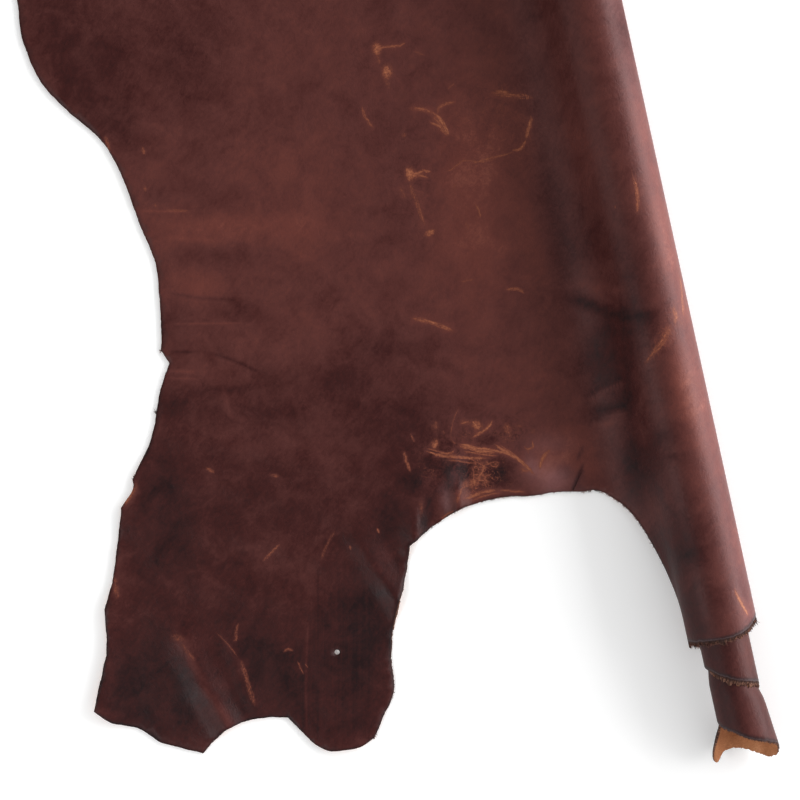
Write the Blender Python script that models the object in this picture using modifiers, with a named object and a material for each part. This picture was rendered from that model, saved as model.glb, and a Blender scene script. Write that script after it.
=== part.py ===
"""A leather side: half a hide that lies grain side up, its back rolled up beneath itself.

Metres, +Z up. The roll lies along +Y; the belly edge and the two shanks are on the -X side and the
neck end is at -Y. The origin is at the middle of the footprint, on the surface that the hide lies on.

The sheet is laid out on a plan first. "Along" is the Y position. "Across" is the X position where
the sheet lies flat, and from the foot of the roll's flank on it counts on round the roll, so the plan
is the hide's cut shape. sheet_point() then lays each point of the plan into place.
"""
import math

import bpy
import numpy as np
from mathutils.geometry import delaunay_2d_cdt

# Driving sizes
THICKNESS = 0.0022            # five-and-a-half ounce leather
ROLL_AXIS_ACROSS = 0.2953
ROLL_AXIS_HEIGHT = 0.0313
ROLL_RADIUS = 0.0353          # outer face of the loose outer turn
ROLL_TOP_ACROSS = 0.330       # where the plan passes the top of the roll
ACROSS_PER_DEGREE = 0.00047   # mean run of leather for a degree of turn
LAST_TURN = 980               # degrees past the top of the roll, at the cut along the backbone
SPRING_RUN = 0.020            # how soon an inner turn opens once the turn round it has ended

# Steps of the mesh
FLANK_START = 0.196           # just short of the flank's foot
TURN_STEP = 20                # degrees between the lines along the roll
FLANK_STEP = 0.010            # between the lines along the flank
EDGE_STEP = 0.014             # along the cut edge
PLAIN_STEP = 0.070            # between points where the sheet is flat
FOLD_STEP = 0.013             # between points on a fold
HOLE_SIDES = 8
NECK_ROWS = np.arange(-0.965, -0.720, 0.018)          # along, where the flank bends by the neck
FLANK_ROWS = (-0.66, -0.58, -0.46, -0.30, -0.10, 0.12, 0.34, 0.56, 0.76, 0.92, 1.02)
ROLL_ROWS = (-0.93, -0.84, -0.66, -0.40, -0.10, 0.25, 0.60, 0.88, 1.04)
ROW_GAP = 0.009               # least run between two rows of the roll
END_GAP = 0.020               # and before its butt end
FLOOR_ACROSS = (-0.34, FLANK_START - FLANK_STEP / 2)
FLOOR_ALONG = (-1.02, 1.06)

# The toggle hole that the tanner dried the fore shank by
HOLE_ACROSS = -0.0815
HOLE_ALONG = -0.9118
HOLE_RADIUS = 0.0026

# The cut edge where the hide lies flat, from the hind flank round to the roll's neck end.
BELLY_AND_NECK = (
    # across, along, bend
    (-0.188, 0.680, "smooth"),
    (-0.195, 0.600, "smooth"),
    (-0.226, 0.500, "smooth"),
    (-0.259, 0.350, "smooth"),
    (-0.272, 0.180, "smooth"),
    (-0.266, 0.000, "smooth"),
    (-0.256, -0.140, "smooth"),
    (-0.255, -0.207, "smooth"),
    (-0.258, -0.245, "smooth"),
    (-0.250, -0.290, "smooth"),
    (-0.229, -0.326, "smooth"),
    (-0.203, -0.361, "smooth"),
    (-0.1905, -0.400, "smooth"),
    (-0.1825, -0.455, "smooth"),
    (-0.176, -0.491, "smooth"),
    (-0.179, -0.525, "smooth"),
    (-0.185, -0.562, "smooth"),
    (-0.189, -0.579, "corner"),
    (-0.1835, -0.594, "corner"),
    (-0.199, -0.620, "smooth"),
    (-0.217, -0.663, "smooth"),
    (-0.244, -0.699, "corner"),
    (-0.245, -0.708, "smooth"),
    (-0.261, -0.725, "corner"),
    (-0.268, -0.746, "smooth"),
    (-0.285, -0.794, "smooth"),
    (-0.299, -0.821, "corner"),
    (-0.302, -0.844, "smooth"),
    (-0.306, -0.863, "smooth"),
    (-0.319, -0.892, "smooth"),
    (-0.330, -0.917, "corner"),
    (-0.317, -0.932, "smooth"),
    (-0.292, -0.9435, "smooth"),
    (-0.273, -0.9615, "smooth"),
    (-0.246, -0.976, "smooth"),
    (-0.234, -0.982, "corner"),
    (-0.220, -0.9715, "smooth"),
    (-0.201, -0.9615, "smooth"),
    (-0.171, -0.9595, "smooth"),
    (-0.143, -0.965, "corner"),
    (-0.127, -0.9905, "smooth"),
    (-0.114, -1.004, "smooth"),
    (-0.095, -1.0085, "smooth"),
    (-0.077, -1.0085, "smooth"),
    (-0.063, -1.003, "corner"),
    (-0.051, -0.986, "smooth"),
    (-0.038, -0.969, "corner"),
    (-0.033, -0.956, "smooth"),
    (-0.030, -0.928, "smooth"),
    (-0.021, -0.897, "smooth"),
    (-0.0045, -0.864, "smooth"),
    (0.005, -0.842, "smooth"),
    (0.012, -0.823, "corner"),
    (0.035, -0.811, "smooth"),
    (0.065, -0.799, "smooth"),
    (0.090, -0.796, "smooth"),
    (0.111, -0.795, "smooth"),
    (0.140, -0.800, "smooth"),
    (0.170, -0.8025, "smooth"),
    (0.193, -0.807, "corner"),
    (0.208, -0.809, "smooth"),
    (0.221, -0.819, "smooth"),
    (0.234, -0.832, "smooth"),
    (0.245, -0.850, "smooth"),
    (0.255, -0.876, "smooth"),
    (0.264, -0.905, "smooth"),
    (0.2715, -0.935, "smooth"),
    (0.275, -0.960, "smooth"),
    (0.277, -0.978, "corner"),
)

# The cut edge round the hind end, from the top of the roll's far end back to the hind flank.
BUTT_AND_HIND_SHANK = (
    (0.330, 1.086, "corner"),
    (0.200, 1.066, "smooth"),
    (0.090, 1.034, "smooth"),
    (-0.020, 0.998, "smooth"),
    (-0.110, 0.986, "smooth"),
    (-0.190, 1.002, "smooth"),
    (-0.262, 1.040, "smooth"),
    (-0.300, 1.046, "corner"),
    (-0.322, 1.000, "smooth"),
    (-0.326, 0.950, "corner"),
    (-0.300, 0.893, "smooth"),
    (-0.248, 0.824, "smooth"),
    (-0.204, 0.752, "smooth"),
)

# The neck end of each turn of the roll. Degrees past the top of the roll; an inner turn stands
# further out, as the roll has slipped like a telescope.
ROLL_NECK_END = (
    # turn, along
    (-60, -0.9710),
    (-20, -0.9710),
    (0, -0.9715),
    (20, -0.9700),
    (40, -0.9665),
    (60, -0.9620),
    (90, -0.9575),
    (120, -0.9600),
    (180, -0.9780),
    (270, -1.0005),
    (300, -1.0025),
    (325, -1.0075),
    (370, -1.0160),
    (440, -1.0245),
    (540, -1.0370),
    (630, -1.0555),
    (660, -1.0600),
    (690, -1.0645),
    (720, -1.0725),
    (760, -1.0800),
    (810, -1.0905),
    (830, -1.0995),
    (850, -1.1015),
    (875, -1.0968),
    (900, -1.0902),
    (925, -1.0872),
    (940, -1.0877),
    (958, -1.0965),
    (980, -1.0780),
)

# The butt end of each turn.
ROLL_BUTT_END = (
    # turn, along
    (0, 1.0860),
    (180, 1.0930),
    (360, 1.0880),
    (540, 1.0940),
    (720, 1.0990),
    (980, 1.1010),
)

# Outer radius of the winding, and how a turn opens past the neck end of the turn round it: at once
# by its spring, then in proportion by its splay.
WINDING = (
    # turn, radius, spring, splay
    (0, 0.0353, 0.0000, 0.000),
    (90, 0.0353, 0.0000, 0.000),
    (180, 0.0310, 0.0000, 0.000),
    (270, 0.0246, 0.0000, 0.000),
    (360, 0.0244, 0.0000, 0.000),
    (450, 0.0243, 0.0000, 0.000),
    (540, 0.0233, 0.0000, 0.000),
    (630, 0.0214, 0.0026, 0.000),
    (720, 0.0213, 0.0026, 0.030),
    (810, 0.0213, 0.0028, 0.100),
    (900, 0.0202, 0.0028, 0.095),
    (950, 0.0190, 0.0028, 0.310),
    (980, 0.0183, 0.0028, 0.450),
)

# How the sheet climbs from the floor onto the roll: slanting along the hide, and close under the
# roll at the free edge by the neck.
CLIMB = (
    # along, angle, foot radius
    (-1.200, 97.0, 0.022),
    (-0.955, 97.0, 0.022),
    (-0.905, 79.0, 0.036),
    (-0.850, 65.0, 0.053),
    (-0.790, 60.0, 0.060),
    (1.200, 60.0, 0.060),
)

# Main folds: each a soft ridge along a line, with its height at either end. Some lift the cut edge.
FOLDS = (
    # across, along, to across, to along, half width, height, end height
    (-0.236, -0.850, -0.194, -0.992, 0.025, 0.0010, 0.0108),    # down the fore shank to its edge
    (-0.182, -0.890, -0.172, -0.962, 0.018, 0.0008, 0.0022),    # beside it
    (-0.312, -0.790, -0.348, -0.930, 0.060, 0.0040, 0.0090),    # lifted belly side of the shank
    (-0.120, -0.940, -0.090, -1.020, 0.045, 0.0000, 0.0040),    # lifted toe of the shank
    (-0.037, -0.802, -0.005, -0.886, 0.023, 0.0026, 0.0068),    # inside the arch's corner
    (0.030, -0.770, 0.014, -0.826, 0.018, 0.0010, 0.0050),      # buckle at the arch
    (0.073, -0.750, 0.067, -0.808, 0.016, 0.0025, 0.0066),      # its neighbour
    (-0.270, -0.620, -0.250, -0.740, 0.040, 0.0000, 0.0030),    # lifted nick of the belly
    (-0.240, 0.860, -0.300, 1.040, 0.045, 0.0010, 0.0090),      # down the hind shank
)


def read_column(table, key, column):
    """Value of a table's column at a key, on a curve through its rows that never overshoots."""
    keys = [row[0] for row in table]
    values = [row[column] for row in table]
    if key <= keys[0]:
        return values[0]
    if key >= keys[-1]:
        return values[-1]
    row = next(index for index in range(1, len(keys)) if key < keys[index])
    slopes = [(values[i + 1] - values[i]) / (keys[i + 1] - keys[i]) for i in range(len(keys) - 1)]

    def tangent(index):
        if index in (0, len(keys) - 1):
            return 0.0
        before, after = slopes[index - 1], slopes[index]
        return 2.0 * before * after / (before + after) if before * after > 0.0 else 0.0

    gap = keys[row] - keys[row - 1]
    part = (key - keys[row - 1]) / gap
    ease = part * part * (3.0 - 2.0 * part)
    bend = part * (1.0 - part) * gap
    return (values[row - 1] * (1.0 - ease) + values[row] * ease
            + bend * ((1.0 - part) * tangent(row - 1) - part * tangent(row)))


def soft_step(value):
    """Rise smoothly from 0 to 1 as the value does."""
    value = min(1.0, max(0.0, value))
    return value * value * (3.0 - 2.0 * value)


def fold_height(across, along):
    """How far the folds lift the sheet off the floor."""
    height = 0.0
    for x0, y0, x1, y1, half_width, start, end in FOLDS:
        run_x, run_y = x1 - x0, y1 - y0
        part = ((across - x0) * run_x + (along - y0) * run_y) / (run_x ** 2 + run_y ** 2)
        part = min(1.0, max(0.0, part))
        off = math.hypot(across - x0 - part * run_x, along - y0 - part * run_y)
        if off < half_width:
            crest = start + (end - start) * part
            height += crest * math.cos(0.5 * math.pi * off / half_width) ** 2
    return height


def climb_at(along):
    """Shape of the flank: its angle, foot radius, straight run, and where its foot stands."""
    angle = math.radians(read_column(CLIMB, along, 1))
    foot_radius = read_column(CLIMB, along, 2)
    radius = ROLL_RADIUS - THICKNESS / 2
    rise = ROLL_AXIS_HEIGHT + radius * math.cos(angle) - THICKNESS / 2
    straight = max(0.0, (rise - foot_radius * (1.0 - math.cos(angle))) / math.sin(angle))
    foot = ROLL_AXIS_ACROSS - (radius + foot_radius) * math.sin(angle) - straight * math.cos(angle)
    return angle, foot_radius, straight, foot


def climb_point(across, along):
    """Middle of the sheet on the flank, between the floor and the top of the roll."""
    angle, foot_radius, straight, foot = climb_at(along)
    radius = ROLL_RADIUS - THICKNESS / 2
    whole = foot_radius * angle + straight + radius * angle
    run = whole * (across - foot) / (ROLL_TOP_ACROSS - foot)
    if run < foot_radius * angle:
        bend = run / foot_radius
        return (foot + foot_radius * math.sin(bend),
                THICKNESS / 2 + foot_radius * (1.0 - math.cos(bend)))
    if run < foot_radius * angle + straight:
        up = run - foot_radius * angle
        return (foot + foot_radius * math.sin(angle) + up * math.cos(angle),
                THICKNESS / 2 + foot_radius * (1.0 - math.cos(angle)) + up * math.sin(angle))
    turn = (run - whole) / radius
    return ROLL_AXIS_ACROSS + radius * math.sin(turn), ROLL_AXIS_HEIGHT + radius * math.cos(turn)


def winding_radius(turn, along):
    """Outer radius of the roll at a turn, opened where no turn covers it."""
    radius = read_column(WINDING, turn, 1)
    past = read_column(ROLL_NECK_END, turn - 360, 1) - along
    if turn < 360 or past <= 0.0:
        return radius
    spring = read_column(WINDING, turn, 2) * soft_step(past / SPRING_RUN)
    return radius + spring + read_column(WINDING, turn, 3) * past


def sheet_point(across, along):
    """Middle of the sheet, in place, for a point of the plan."""
    foot = climb_at(along)[3]
    if across <= foot:
        return across, along, THICKNESS / 2 + fold_height(across, along)
    if across <= ROLL_TOP_ACROSS:
        x, z = climb_point(across, along)
        return x, along, z
    turn = (across - ROLL_TOP_ACROSS) / ACROSS_PER_DEGREE
    radius = winding_radius(turn, along) - THICKNESS / 2
    angle = math.radians(turn)
    return (ROLL_AXIS_ACROSS + radius * math.sin(angle), along,
            ROLL_AXIS_HEIGHT + radius * math.cos(angle))


def smooth_edge(rows, step):
    """Points along a run of the cut edge: a curve through the rows, broken at the corners."""
    points = [np.array(row[:2]) for row in rows]

    def tangent(index, ahead):
        lone_end = index in (0, len(points) - 1) or rows[index][2] == "corner"
        before = points[index if lone_end and ahead else index - 1]
        after = points[index if lone_end and not ahead else index + 1]
        reach = (np.linalg.norm(points[index] - before) + np.linalg.norm(after - points[index]))
        return (after - before) / reach

    edge = []
    for index in range(len(points) - 1):
        start, end = points[index], points[index + 1]
        length = np.linalg.norm(end - start)
        leave, arrive = tangent(index, True) * length, tangent(index + 1, False) * length
        count = max(1, round(length / step))
        for part in np.arange(count) / count:
            ease = part * part * (3.0 - 2.0 * part)
            bend = part * (1.0 - part) * ((1.0 - part) * leave - part * arrive)
            edge.append(start * (1.0 - ease) + end * ease + bend)
    return edge


def roll_lines():
    """Turns of the lines along the roll."""
    return range(TURN_STEP, LAST_TURN + 1, TURN_STEP)


def plan_of_turn(turn):
    return ROLL_TOP_ACROSS + turn * ACROSS_PER_DEGREE


def plan_outline():
    """The whole cut edge on the plan, anticlockwise."""
    edge = smooth_edge(BELLY_AND_NECK, EDGE_STEP)
    edge.append(np.array(BELLY_AND_NECK[-1][:2]))
    radius = ROLL_RADIUS - THICKNESS / 2
    for turn in range(-80, 1, TURN_STEP):
        along = read_column(ROLL_NECK_END, turn, 1)
        angle, foot_radius, straight, foot = climb_at(along)
        whole = foot_radius * angle + straight + radius * angle
        back = -math.radians(turn) * radius * (ROLL_TOP_ACROSS - foot) / whole
        edge.append(np.array((ROLL_TOP_ACROSS - back, along)))
    for turn in roll_lines():
        edge.append(np.array((plan_of_turn(turn), read_column(ROLL_NECK_END, turn, 1))))
    for turn in reversed(roll_lines()):
        edge.append(np.array((plan_of_turn(turn), read_column(ROLL_BUTT_END, turn, 1))))
    return edge + smooth_edge(BUTT_AND_HIND_SHANK + BELLY_AND_NECK[:1], EDGE_STEP)


def inside(edge, points):
    """Which points are inside the closed edge."""
    within = np.zeros(len(points), dtype=bool)
    for (x0, y0), (x1, y1) in zip(edge, np.roll(edge, -1, axis=0)):
        if y0 == y1:
            continue
        crosses = (y0 > points[:, 1]) != (y1 > points[:, 1])
        at = x0 + (points[:, 1] - y0) * (x1 - x0) / (y1 - y0)
        within ^= crosses & (points[:, 0] < at)
    return within


def clear_of(edge, points):
    """The points that are inside the edge and not close to it."""
    points = points[inside(edge, points)]
    edge = np.array(edge)
    gap = np.min(np.hypot(points[:, None, 0] - edge[:, 0], points[:, None, 1] - edge[:, 1]), axis=1)
    return points[gap > 0.55 * FLANK_STEP]


def floor_points():
    """Points on the plan where the sheet lies on the floor, closer together on the folds."""
    points = []
    for step in (PLAIN_STEP, FOLD_STEP):
        for across in np.arange(*FLOOR_ACROSS, step):
            for along in np.arange(*FLOOR_ALONG, step):
                folded = fold_height(across, along) > 0.0
                if folded == (step == FOLD_STEP):
                    points.append((across, along))
    return np.array(points)


def flank_lines():
    """Lines of points along the flank on the plan, closer together by the neck."""
    return [np.array([(across, along) for along in (*NECK_ROWS, *FLANK_ROWS)])
            for across in np.arange(ROLL_TOP_ACROSS, FLANK_START, -FLANK_STEP)]


def roll_rows(turn):
    """Where points stand along the roll at a turn: its two ends, and where it springs open."""
    neck_end = read_column(ROLL_NECK_END, turn, 1)
    butt_end = read_column(ROLL_BUTT_END, turn, 1)
    cover = read_column(ROLL_NECK_END, turn - 360, 1)
    next_cover = read_column(ROLL_NECK_END, turn - 720, 1)
    rows = [neck_end]
    for along in (cover - SPRING_RUN, cover, next_cover, *ROLL_ROWS):
        if rows[-1] + ROW_GAP < along < butt_end - END_GAP:
            rows.append(along)
    return rows + [butt_end]


def make_plan():
    """Triangles of the whole sheet on its plan."""
    edge = plan_outline()
    points = edge + list(clear_of(edge, floor_points()))
    lines = []
    for line in flank_lines():
        line = clear_of(edge, line)
        first = len(points)
        points += list(line)
        lines += [(index, index + 1) for index in range(first, len(points) - 1)]
    for turn in roll_lines():
        across = plan_of_turn(turn)
        rows = roll_rows(turn)
        first = len(points)
        points += [np.array((across, along)) for along in rows[1:-1]]
        ends = [index for index in range(len(edge)) if abs(edge[index][0] - across) < 1e-7]
        ends.sort(key=lambda index: edge[index][1])
        line = [ends[0]] + list(range(first, len(points))) + [ends[-1]]
        lines += list(zip(line, line[1:]))

    spokes = 2 * math.pi * np.arange(HOLE_SIDES) / HOLE_SIDES
    first = len(points)
    points += [np.array((HOLE_ACROSS + HOLE_RADIUS * math.cos(spoke),
                         HOLE_ALONG + HOLE_RADIUS * math.sin(spoke))) for spoke in spokes]
    rim = list(range(first, len(points)))
    lines += list(zip(rim, rim[1:] + rim[:1]))

    outline = list(range(len(edge)))
    made = delaunay_2d_cdt([point.tolist() for point in points], lines, [outline], 1, 1e-7)
    return made[0], made[2]


def make_sheet():
    """The hide as one thick sheet."""
    plan, triangles = make_plan()
    kept = []
    for triangle in triangles:
        across = sum(plan[index].x for index in triangle) / 3
        along = sum(plan[index].y for index in triangle) / 3
        if math.hypot(across - HOLE_ACROSS, along - HOLE_ALONG) > 0.9 * HOLE_RADIUS:
            kept.append(tuple(triangle))
    used = sorted({index for triangle in kept for index in triangle})
    place = {index: number for number, index in enumerate(used)}
    points = [sheet_point(*plan[index]) for index in used]
    faces = [tuple(place[index] for index in triangle) for triangle in kept]

    mesh = bpy.data.meshes.new("leather_side")
    mesh.from_pydata(points, [], faces)
    mesh.shade_smooth()
    sheet = bpy.data.objects.new("leather_side", mesh)
    body = sheet.modifiers.new("thickness", "SOLIDIFY")
    body.thickness = THICKNESS
    body.offset = 0.0
    body.use_even_offset = True
    body.use_quality_normals = True
    sheet.data.materials.append(leather())
    return sheet


def leather():
    """Oiled red-brown leather with a low sheen."""
    material = bpy.data.materials.new("pull_up_leather")
    material.use_nodes = True
    shader = material.node_tree.nodes["Principled BSDF"]
    shader.inputs["Base Color"].default_value = (0.075, 0.022, 0.018, 1.0)
    shader.inputs["Roughness"].default_value = 0.48
    shader.inputs["Metallic"].default_value = 0.0
    return material


def main():
    for thing in list(bpy.data.objects):
        bpy.data.objects.remove(thing)
    collection = bpy.data.collections.new("Leather side")
    bpy.context.scene.collection.children.link(collection)
    collection.objects.link(make_sheet())


main()
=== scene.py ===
"""The leather side as it looks: grain, flesh, cut edges, folds, scuffs, and the studio that shows it.

The hide is one closed sheet, laid out on a plan and then laid into place. "Along" is the Y position.
"Across" is the X position where the sheet lies flat, and from the foot of the roll's flank on it
counts on round the roll, so the plan is the hide's cut shape. Metres, in the frame's own axes.
"""
import math

import bpy
import numpy as np
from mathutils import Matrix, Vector, kdtree, noise
from mathutils.geometry import delaunay_2d_cdt


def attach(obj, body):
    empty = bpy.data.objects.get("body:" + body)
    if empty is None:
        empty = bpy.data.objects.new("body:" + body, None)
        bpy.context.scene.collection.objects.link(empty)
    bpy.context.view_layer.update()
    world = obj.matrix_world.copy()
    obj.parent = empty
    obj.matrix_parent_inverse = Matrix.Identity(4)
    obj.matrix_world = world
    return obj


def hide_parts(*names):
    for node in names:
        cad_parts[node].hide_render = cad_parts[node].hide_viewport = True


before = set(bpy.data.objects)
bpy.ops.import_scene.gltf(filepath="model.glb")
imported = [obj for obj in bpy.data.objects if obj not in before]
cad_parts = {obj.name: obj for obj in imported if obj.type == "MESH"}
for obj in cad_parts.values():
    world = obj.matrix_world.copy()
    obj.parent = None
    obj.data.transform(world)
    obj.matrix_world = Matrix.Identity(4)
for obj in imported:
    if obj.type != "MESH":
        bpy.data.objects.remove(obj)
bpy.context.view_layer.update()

NODE = "leather_side"

# ---------------------------------------------------------------- sizes of the hide

THICKNESS = 0.0022            # five-and-a-half ounce leather
ROLL_AXIS_ACROSS = 0.2953
ROLL_AXIS_HEIGHT = 0.0313
ROLL_RADIUS = 0.0353          # outer face of the loose outer turn
MIDDLE = ROLL_RADIUS - THICKNESS / 2  # and the middle of its sheet
ROLL_TOP_ACROSS = 0.330       # where the plan passes the top of the roll
ACROSS_PER_DEGREE = 0.00047   # mean run of leather for a degree of turn
LAST_TURN = 980               # degrees past the top of the roll, at the cut along the backbone
SPRING_RUN = 0.020            # how soon an inner turn opens once the turn round it has ended

HOLE_ACROSS = -0.0815         # the toggle hole in the fore shank
HOLE_ALONG = -0.9118
HOLE_RADIUS = 0.0026
HOLE_SIDES = 20

# ---------------------------------------------------------------- the photograph's view

CAMERA_ACROSS = 0.0336
CAMERA_ALONG = -0.6790
CAMERA_HEIGHT = 2.0
VIEW_SPAN = 0.800             # metres of floor across the picture
PICTURE = 800                 # pixels across the picture
ROLL_LEAN = math.radians(12.3)
SENSOR = 36.0

# ---------------------------------------------------------------- the cut edge

BELLY_AND_NECK = (
    # across, along, and whether the smooth edge breaks there
    (-0.188, 0.680),
    (-0.195, 0.600),
    (-0.226, 0.500),
    (-0.259, 0.350),
    (-0.272, 0.180),
    (-0.266, 0.000),
    (-0.256, -0.140),
    (-0.255, -0.207),
    (-0.258, -0.245),
    (-0.250, -0.290),
    (-0.229, -0.326),
    (-0.203, -0.361),
    (-0.1905, -0.400),
    (-0.1825, -0.455),
    (-0.176, -0.491),
    (-0.179, -0.525),
    (-0.185, -0.562),
    (-0.189, -0.579, "corner"),
    (-0.1835, -0.594, "corner"),
    (-0.199, -0.620),
    (-0.217, -0.663),
    (-0.244, -0.699, "corner"),
    (-0.245, -0.708),
    (-0.261, -0.725, "corner"),
    (-0.268, -0.746),
    (-0.285, -0.794),
    (-0.299, -0.821, "corner"),
    (-0.302, -0.844),
    (-0.306, -0.863),
    (-0.319, -0.892),
    (-0.330, -0.917, "corner"),
    (-0.317, -0.932),
    (-0.292, -0.9435),
    (-0.273, -0.9615),
    (-0.246, -0.976),
    (-0.234, -0.982, "corner"),
    (-0.220, -0.9715),
    (-0.201, -0.9615),
    (-0.171, -0.9595),
    (-0.143, -0.965, "corner"),
    (-0.127, -0.9905),
    (-0.114, -1.004),
    (-0.095, -1.0085),
    (-0.077, -1.0085),
    (-0.063, -1.003, "corner"),
    (-0.051, -0.986),
    (-0.038, -0.969, "corner"),
    (-0.033, -0.956),
    (-0.030, -0.928),
    (-0.021, -0.897),
    (-0.0045, -0.864),
    (0.005, -0.842),
    (0.012, -0.823, "corner"),
    (0.035, -0.811),
    (0.065, -0.799),
    (0.090, -0.796),
    (0.111, -0.795),
    (0.140, -0.800),
    (0.170, -0.8025),
    (0.1822, -0.8050, "corner"),
    (0.1968, -0.7872, "corner"),      # tip of the slit in the arch
    (0.1829, -0.8053, "corner"),
    (0.193, -0.807, "corner"),
    (0.208, -0.809),
    (0.221, -0.819),
    (0.234, -0.832),
    (0.245, -0.850),
    (0.255, -0.876),
    (0.264, -0.905),
    (0.2715, -0.935),
    (0.275, -0.960),
    (0.277, -0.978, "corner"),
)

BUTT_AND_HIND_SHANK = (
    (0.330, 1.086, "corner"),
    (0.200, 1.066),
    (0.090, 1.034),
    (-0.020, 0.998),
    (-0.110, 0.986),
    (-0.190, 1.002),
    (-0.262, 1.040),
    (-0.300, 1.046, "corner"),
    (-0.322, 1.000),
    (-0.326, 0.950, "corner"),
    (-0.300, 0.893),
    (-0.248, 0.824),
    (-0.204, 0.752),
)

ROLL_NECK_END = (
    # turn, along
    (-60, -0.9710),
    (-20, -0.9710),
    (0, -0.9715),
    (20, -0.9700),
    (40, -0.9665),
    (60, -0.9620),
    (90, -0.9575),
    (120, -0.9600),
    (180, -0.9780),
    (270, -1.0005),
    (300, -1.0025),
    (325, -1.0075),
    (370, -1.0160),
    (440, -1.0245),
    (540, -1.0370),
    (630, -1.0555),
    (660, -1.0600),
    (690, -1.0645),
    (720, -1.0725),
    (760, -1.0800),
    (810, -1.0905),
    (830, -1.0995),
    (850, -1.1015),
    (875, -1.0968),
    (900, -1.0902),
    (925, -1.0872),
    (940, -1.0877),
    (958, -1.0965),
    (980, -1.0780),
)

ROLL_BUTT_END = (
    # turn, along
    (0, 1.0860),
    (180, 1.0930),
    (360, 1.0880),
    (540, 1.0940),
    (720, 1.0990),
    (980, 1.1010),
)

NECK_ALONG = -0.9             # the roll's neck end is past here,
NECK_CORNER = 0.276           # and starts here across
TORN_FROM, TORN_TO = 0.272, 0.278  # across, where the clean cut turns into a torn one
WAVER = 0.0007                # how far a knife's cut strays, over a centimetre
FINE_WAVER = 0.0003           # and over a few millimetres
TORN_WAVER = 0.0009           # the same where it is torn

# ---------------------------------------------------------------- how it lies

WINDING = (
    # turn, radius, spring, splay
    (0, 0.0353, 0.0000, 0.000),
    (90, 0.0353, 0.0000, 0.000),
    (180, 0.0310, 0.0000, 0.000),
    (270, 0.0246, 0.0000, 0.000),
    (360, 0.0244, 0.0000, 0.000),
    (450, 0.0243, 0.0000, 0.000),
    (540, 0.0233, 0.0000, 0.000),
    (630, 0.0214, 0.0026, 0.000),
    (720, 0.0213, 0.0026, 0.030),
    (810, 0.0213, 0.0028, 0.100),
    (900, 0.0202, 0.0028, 0.095),
    (950, 0.0190, 0.0028, 0.310),
    (980, 0.0183, 0.0028, 0.450),
)

CLIMB = (
    # along, angle, foot radius
    (-1.200, 97.0, 0.022),
    (-0.955, 97.0, 0.022),
    (-0.905, 79.0, 0.036),
    (-0.850, 65.0, 0.053),
    (-0.790, 60.0, 0.060),
    (1.200, 60.0, 0.060),
)

FOLDS = (
    # across, along, to across, to along, half width, height, end height
    (-0.236, -0.850, -0.194, -0.992, 0.025, 0.0010, 0.0108),    # down the fore shank to its edge
    (-0.182, -0.890, -0.172, -0.962, 0.018, 0.0008, 0.0022),    # beside it
    (-0.312, -0.790, -0.348, -0.930, 0.060, 0.0040, 0.0090),    # lifted belly side of the shank
    (-0.120, -0.940, -0.090, -1.020, 0.045, 0.0000, 0.0040),    # lifted toe of the shank
    (-0.037, -0.802, -0.005, -0.886, 0.023, 0.0026, 0.0068),    # inside the arch's corner
    (0.030, -0.770, 0.014, -0.826, 0.018, 0.0010, 0.0050),      # buckle at the arch
    (0.073, -0.750, 0.067, -0.808, 0.016, 0.0025, 0.0066),      # its neighbour
    (-0.270, -0.620, -0.250, -0.740, 0.040, 0.0000, 0.0030),    # lifted nick of the belly
    (-0.240, 0.860, -0.300, 1.040, 0.045, 0.0010, 0.0090),      # down the hind shank
)

CREASES = (
    # across, along, to across, to along, half width, height, end height
    (-0.229, -0.880, -0.201, -0.962, 0.0110, 0.0004, 0.0007),   # crest of the fore shank's fold
    (-0.035, -0.812, -0.011, -0.877, 0.0085, 0.0006, 0.0013),   # crest inside the arch's corner
    (0.0240, -0.7900, 0.0190, -0.8170, 0.0060, 0.0010, 0.0022),  # crest of the buckle
    (0.0730, -0.7500, 0.0670, -0.8040, 0.0065, 0.0006, 0.0012),  # crest of its neighbour
)

SWELL = 0.0007                # the lie of the sheet between its folds
SWELL_LENGTH = 0.055
LEVEL_RUN = 0.02              # both level out over this run to the flank's foot

# ---------------------------------------------------------------- how finely it is meshed

SEEN_ALONG = -0.19            # the photograph shows the hide up to here
SEEN_TURN = 75                # and as far round the roll as here
HIDDEN_TURN = 100             # from here on the roll needs fewer points
FLANK_START = 0.196           # just short of the flank's foot
FLANK_STEP = 0.0045
TURN_STEP = 7                 # degrees
EDGE_TURN_STEP = TURN_STEP / 3
FLANK_TURNS = np.arange(-91.0, 1.0, 4.55)  # of the neck end's points, up the flank
EDGE_SEEN_STEP = 0.0022
EDGE_PLAIN_STEP = 0.0060
BACKBONE_STEP = 0.02
NECK_END_STEP = 0.006         # down the roll from its ends
BUTT_END_STEP = 0.012
LONG_GAP = 0.016              # points farther apart than this along the roll are joined
STROKE_ROOM = 0.0009          # how near other points may come to a point that is added
ROLL_ROOM = 0.0018
GRID_ROOM = 0.55              # the same, as a share of the grid's step
GRID_COARSE = 1.6             # how much wider the flesh side's grid is
GRID_LOW = (-0.345, -1.03)    # the grid's corners, past the outline
GRID_HIGH = (FLANK_START - 0.7 * FLANK_STEP, 1.08)
FOLD_START = 0.0002           # the grid is finer where the folds are higher than this
HOLE_ROOM = 1.3               # hole radii from its middle that are kept clear
SAME = 1e-7                   # points nearer than this are one
GRID_STEPS = (
    # step, which stretch of the floor it covers
    (0.0040, "fold"),
    (0.0065, "seen"),
    (0.0260, "far"),
)
FLANK_ROWS = (
    # from, to, step, the flesh side has one row in so many
    (-0.975, -0.760, 0.006, 2),
    (-0.760, SEEN_ALONG, 0.007, 3),
    (SEEN_ALONG, 1.060, 0.060, 1),
)
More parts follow.
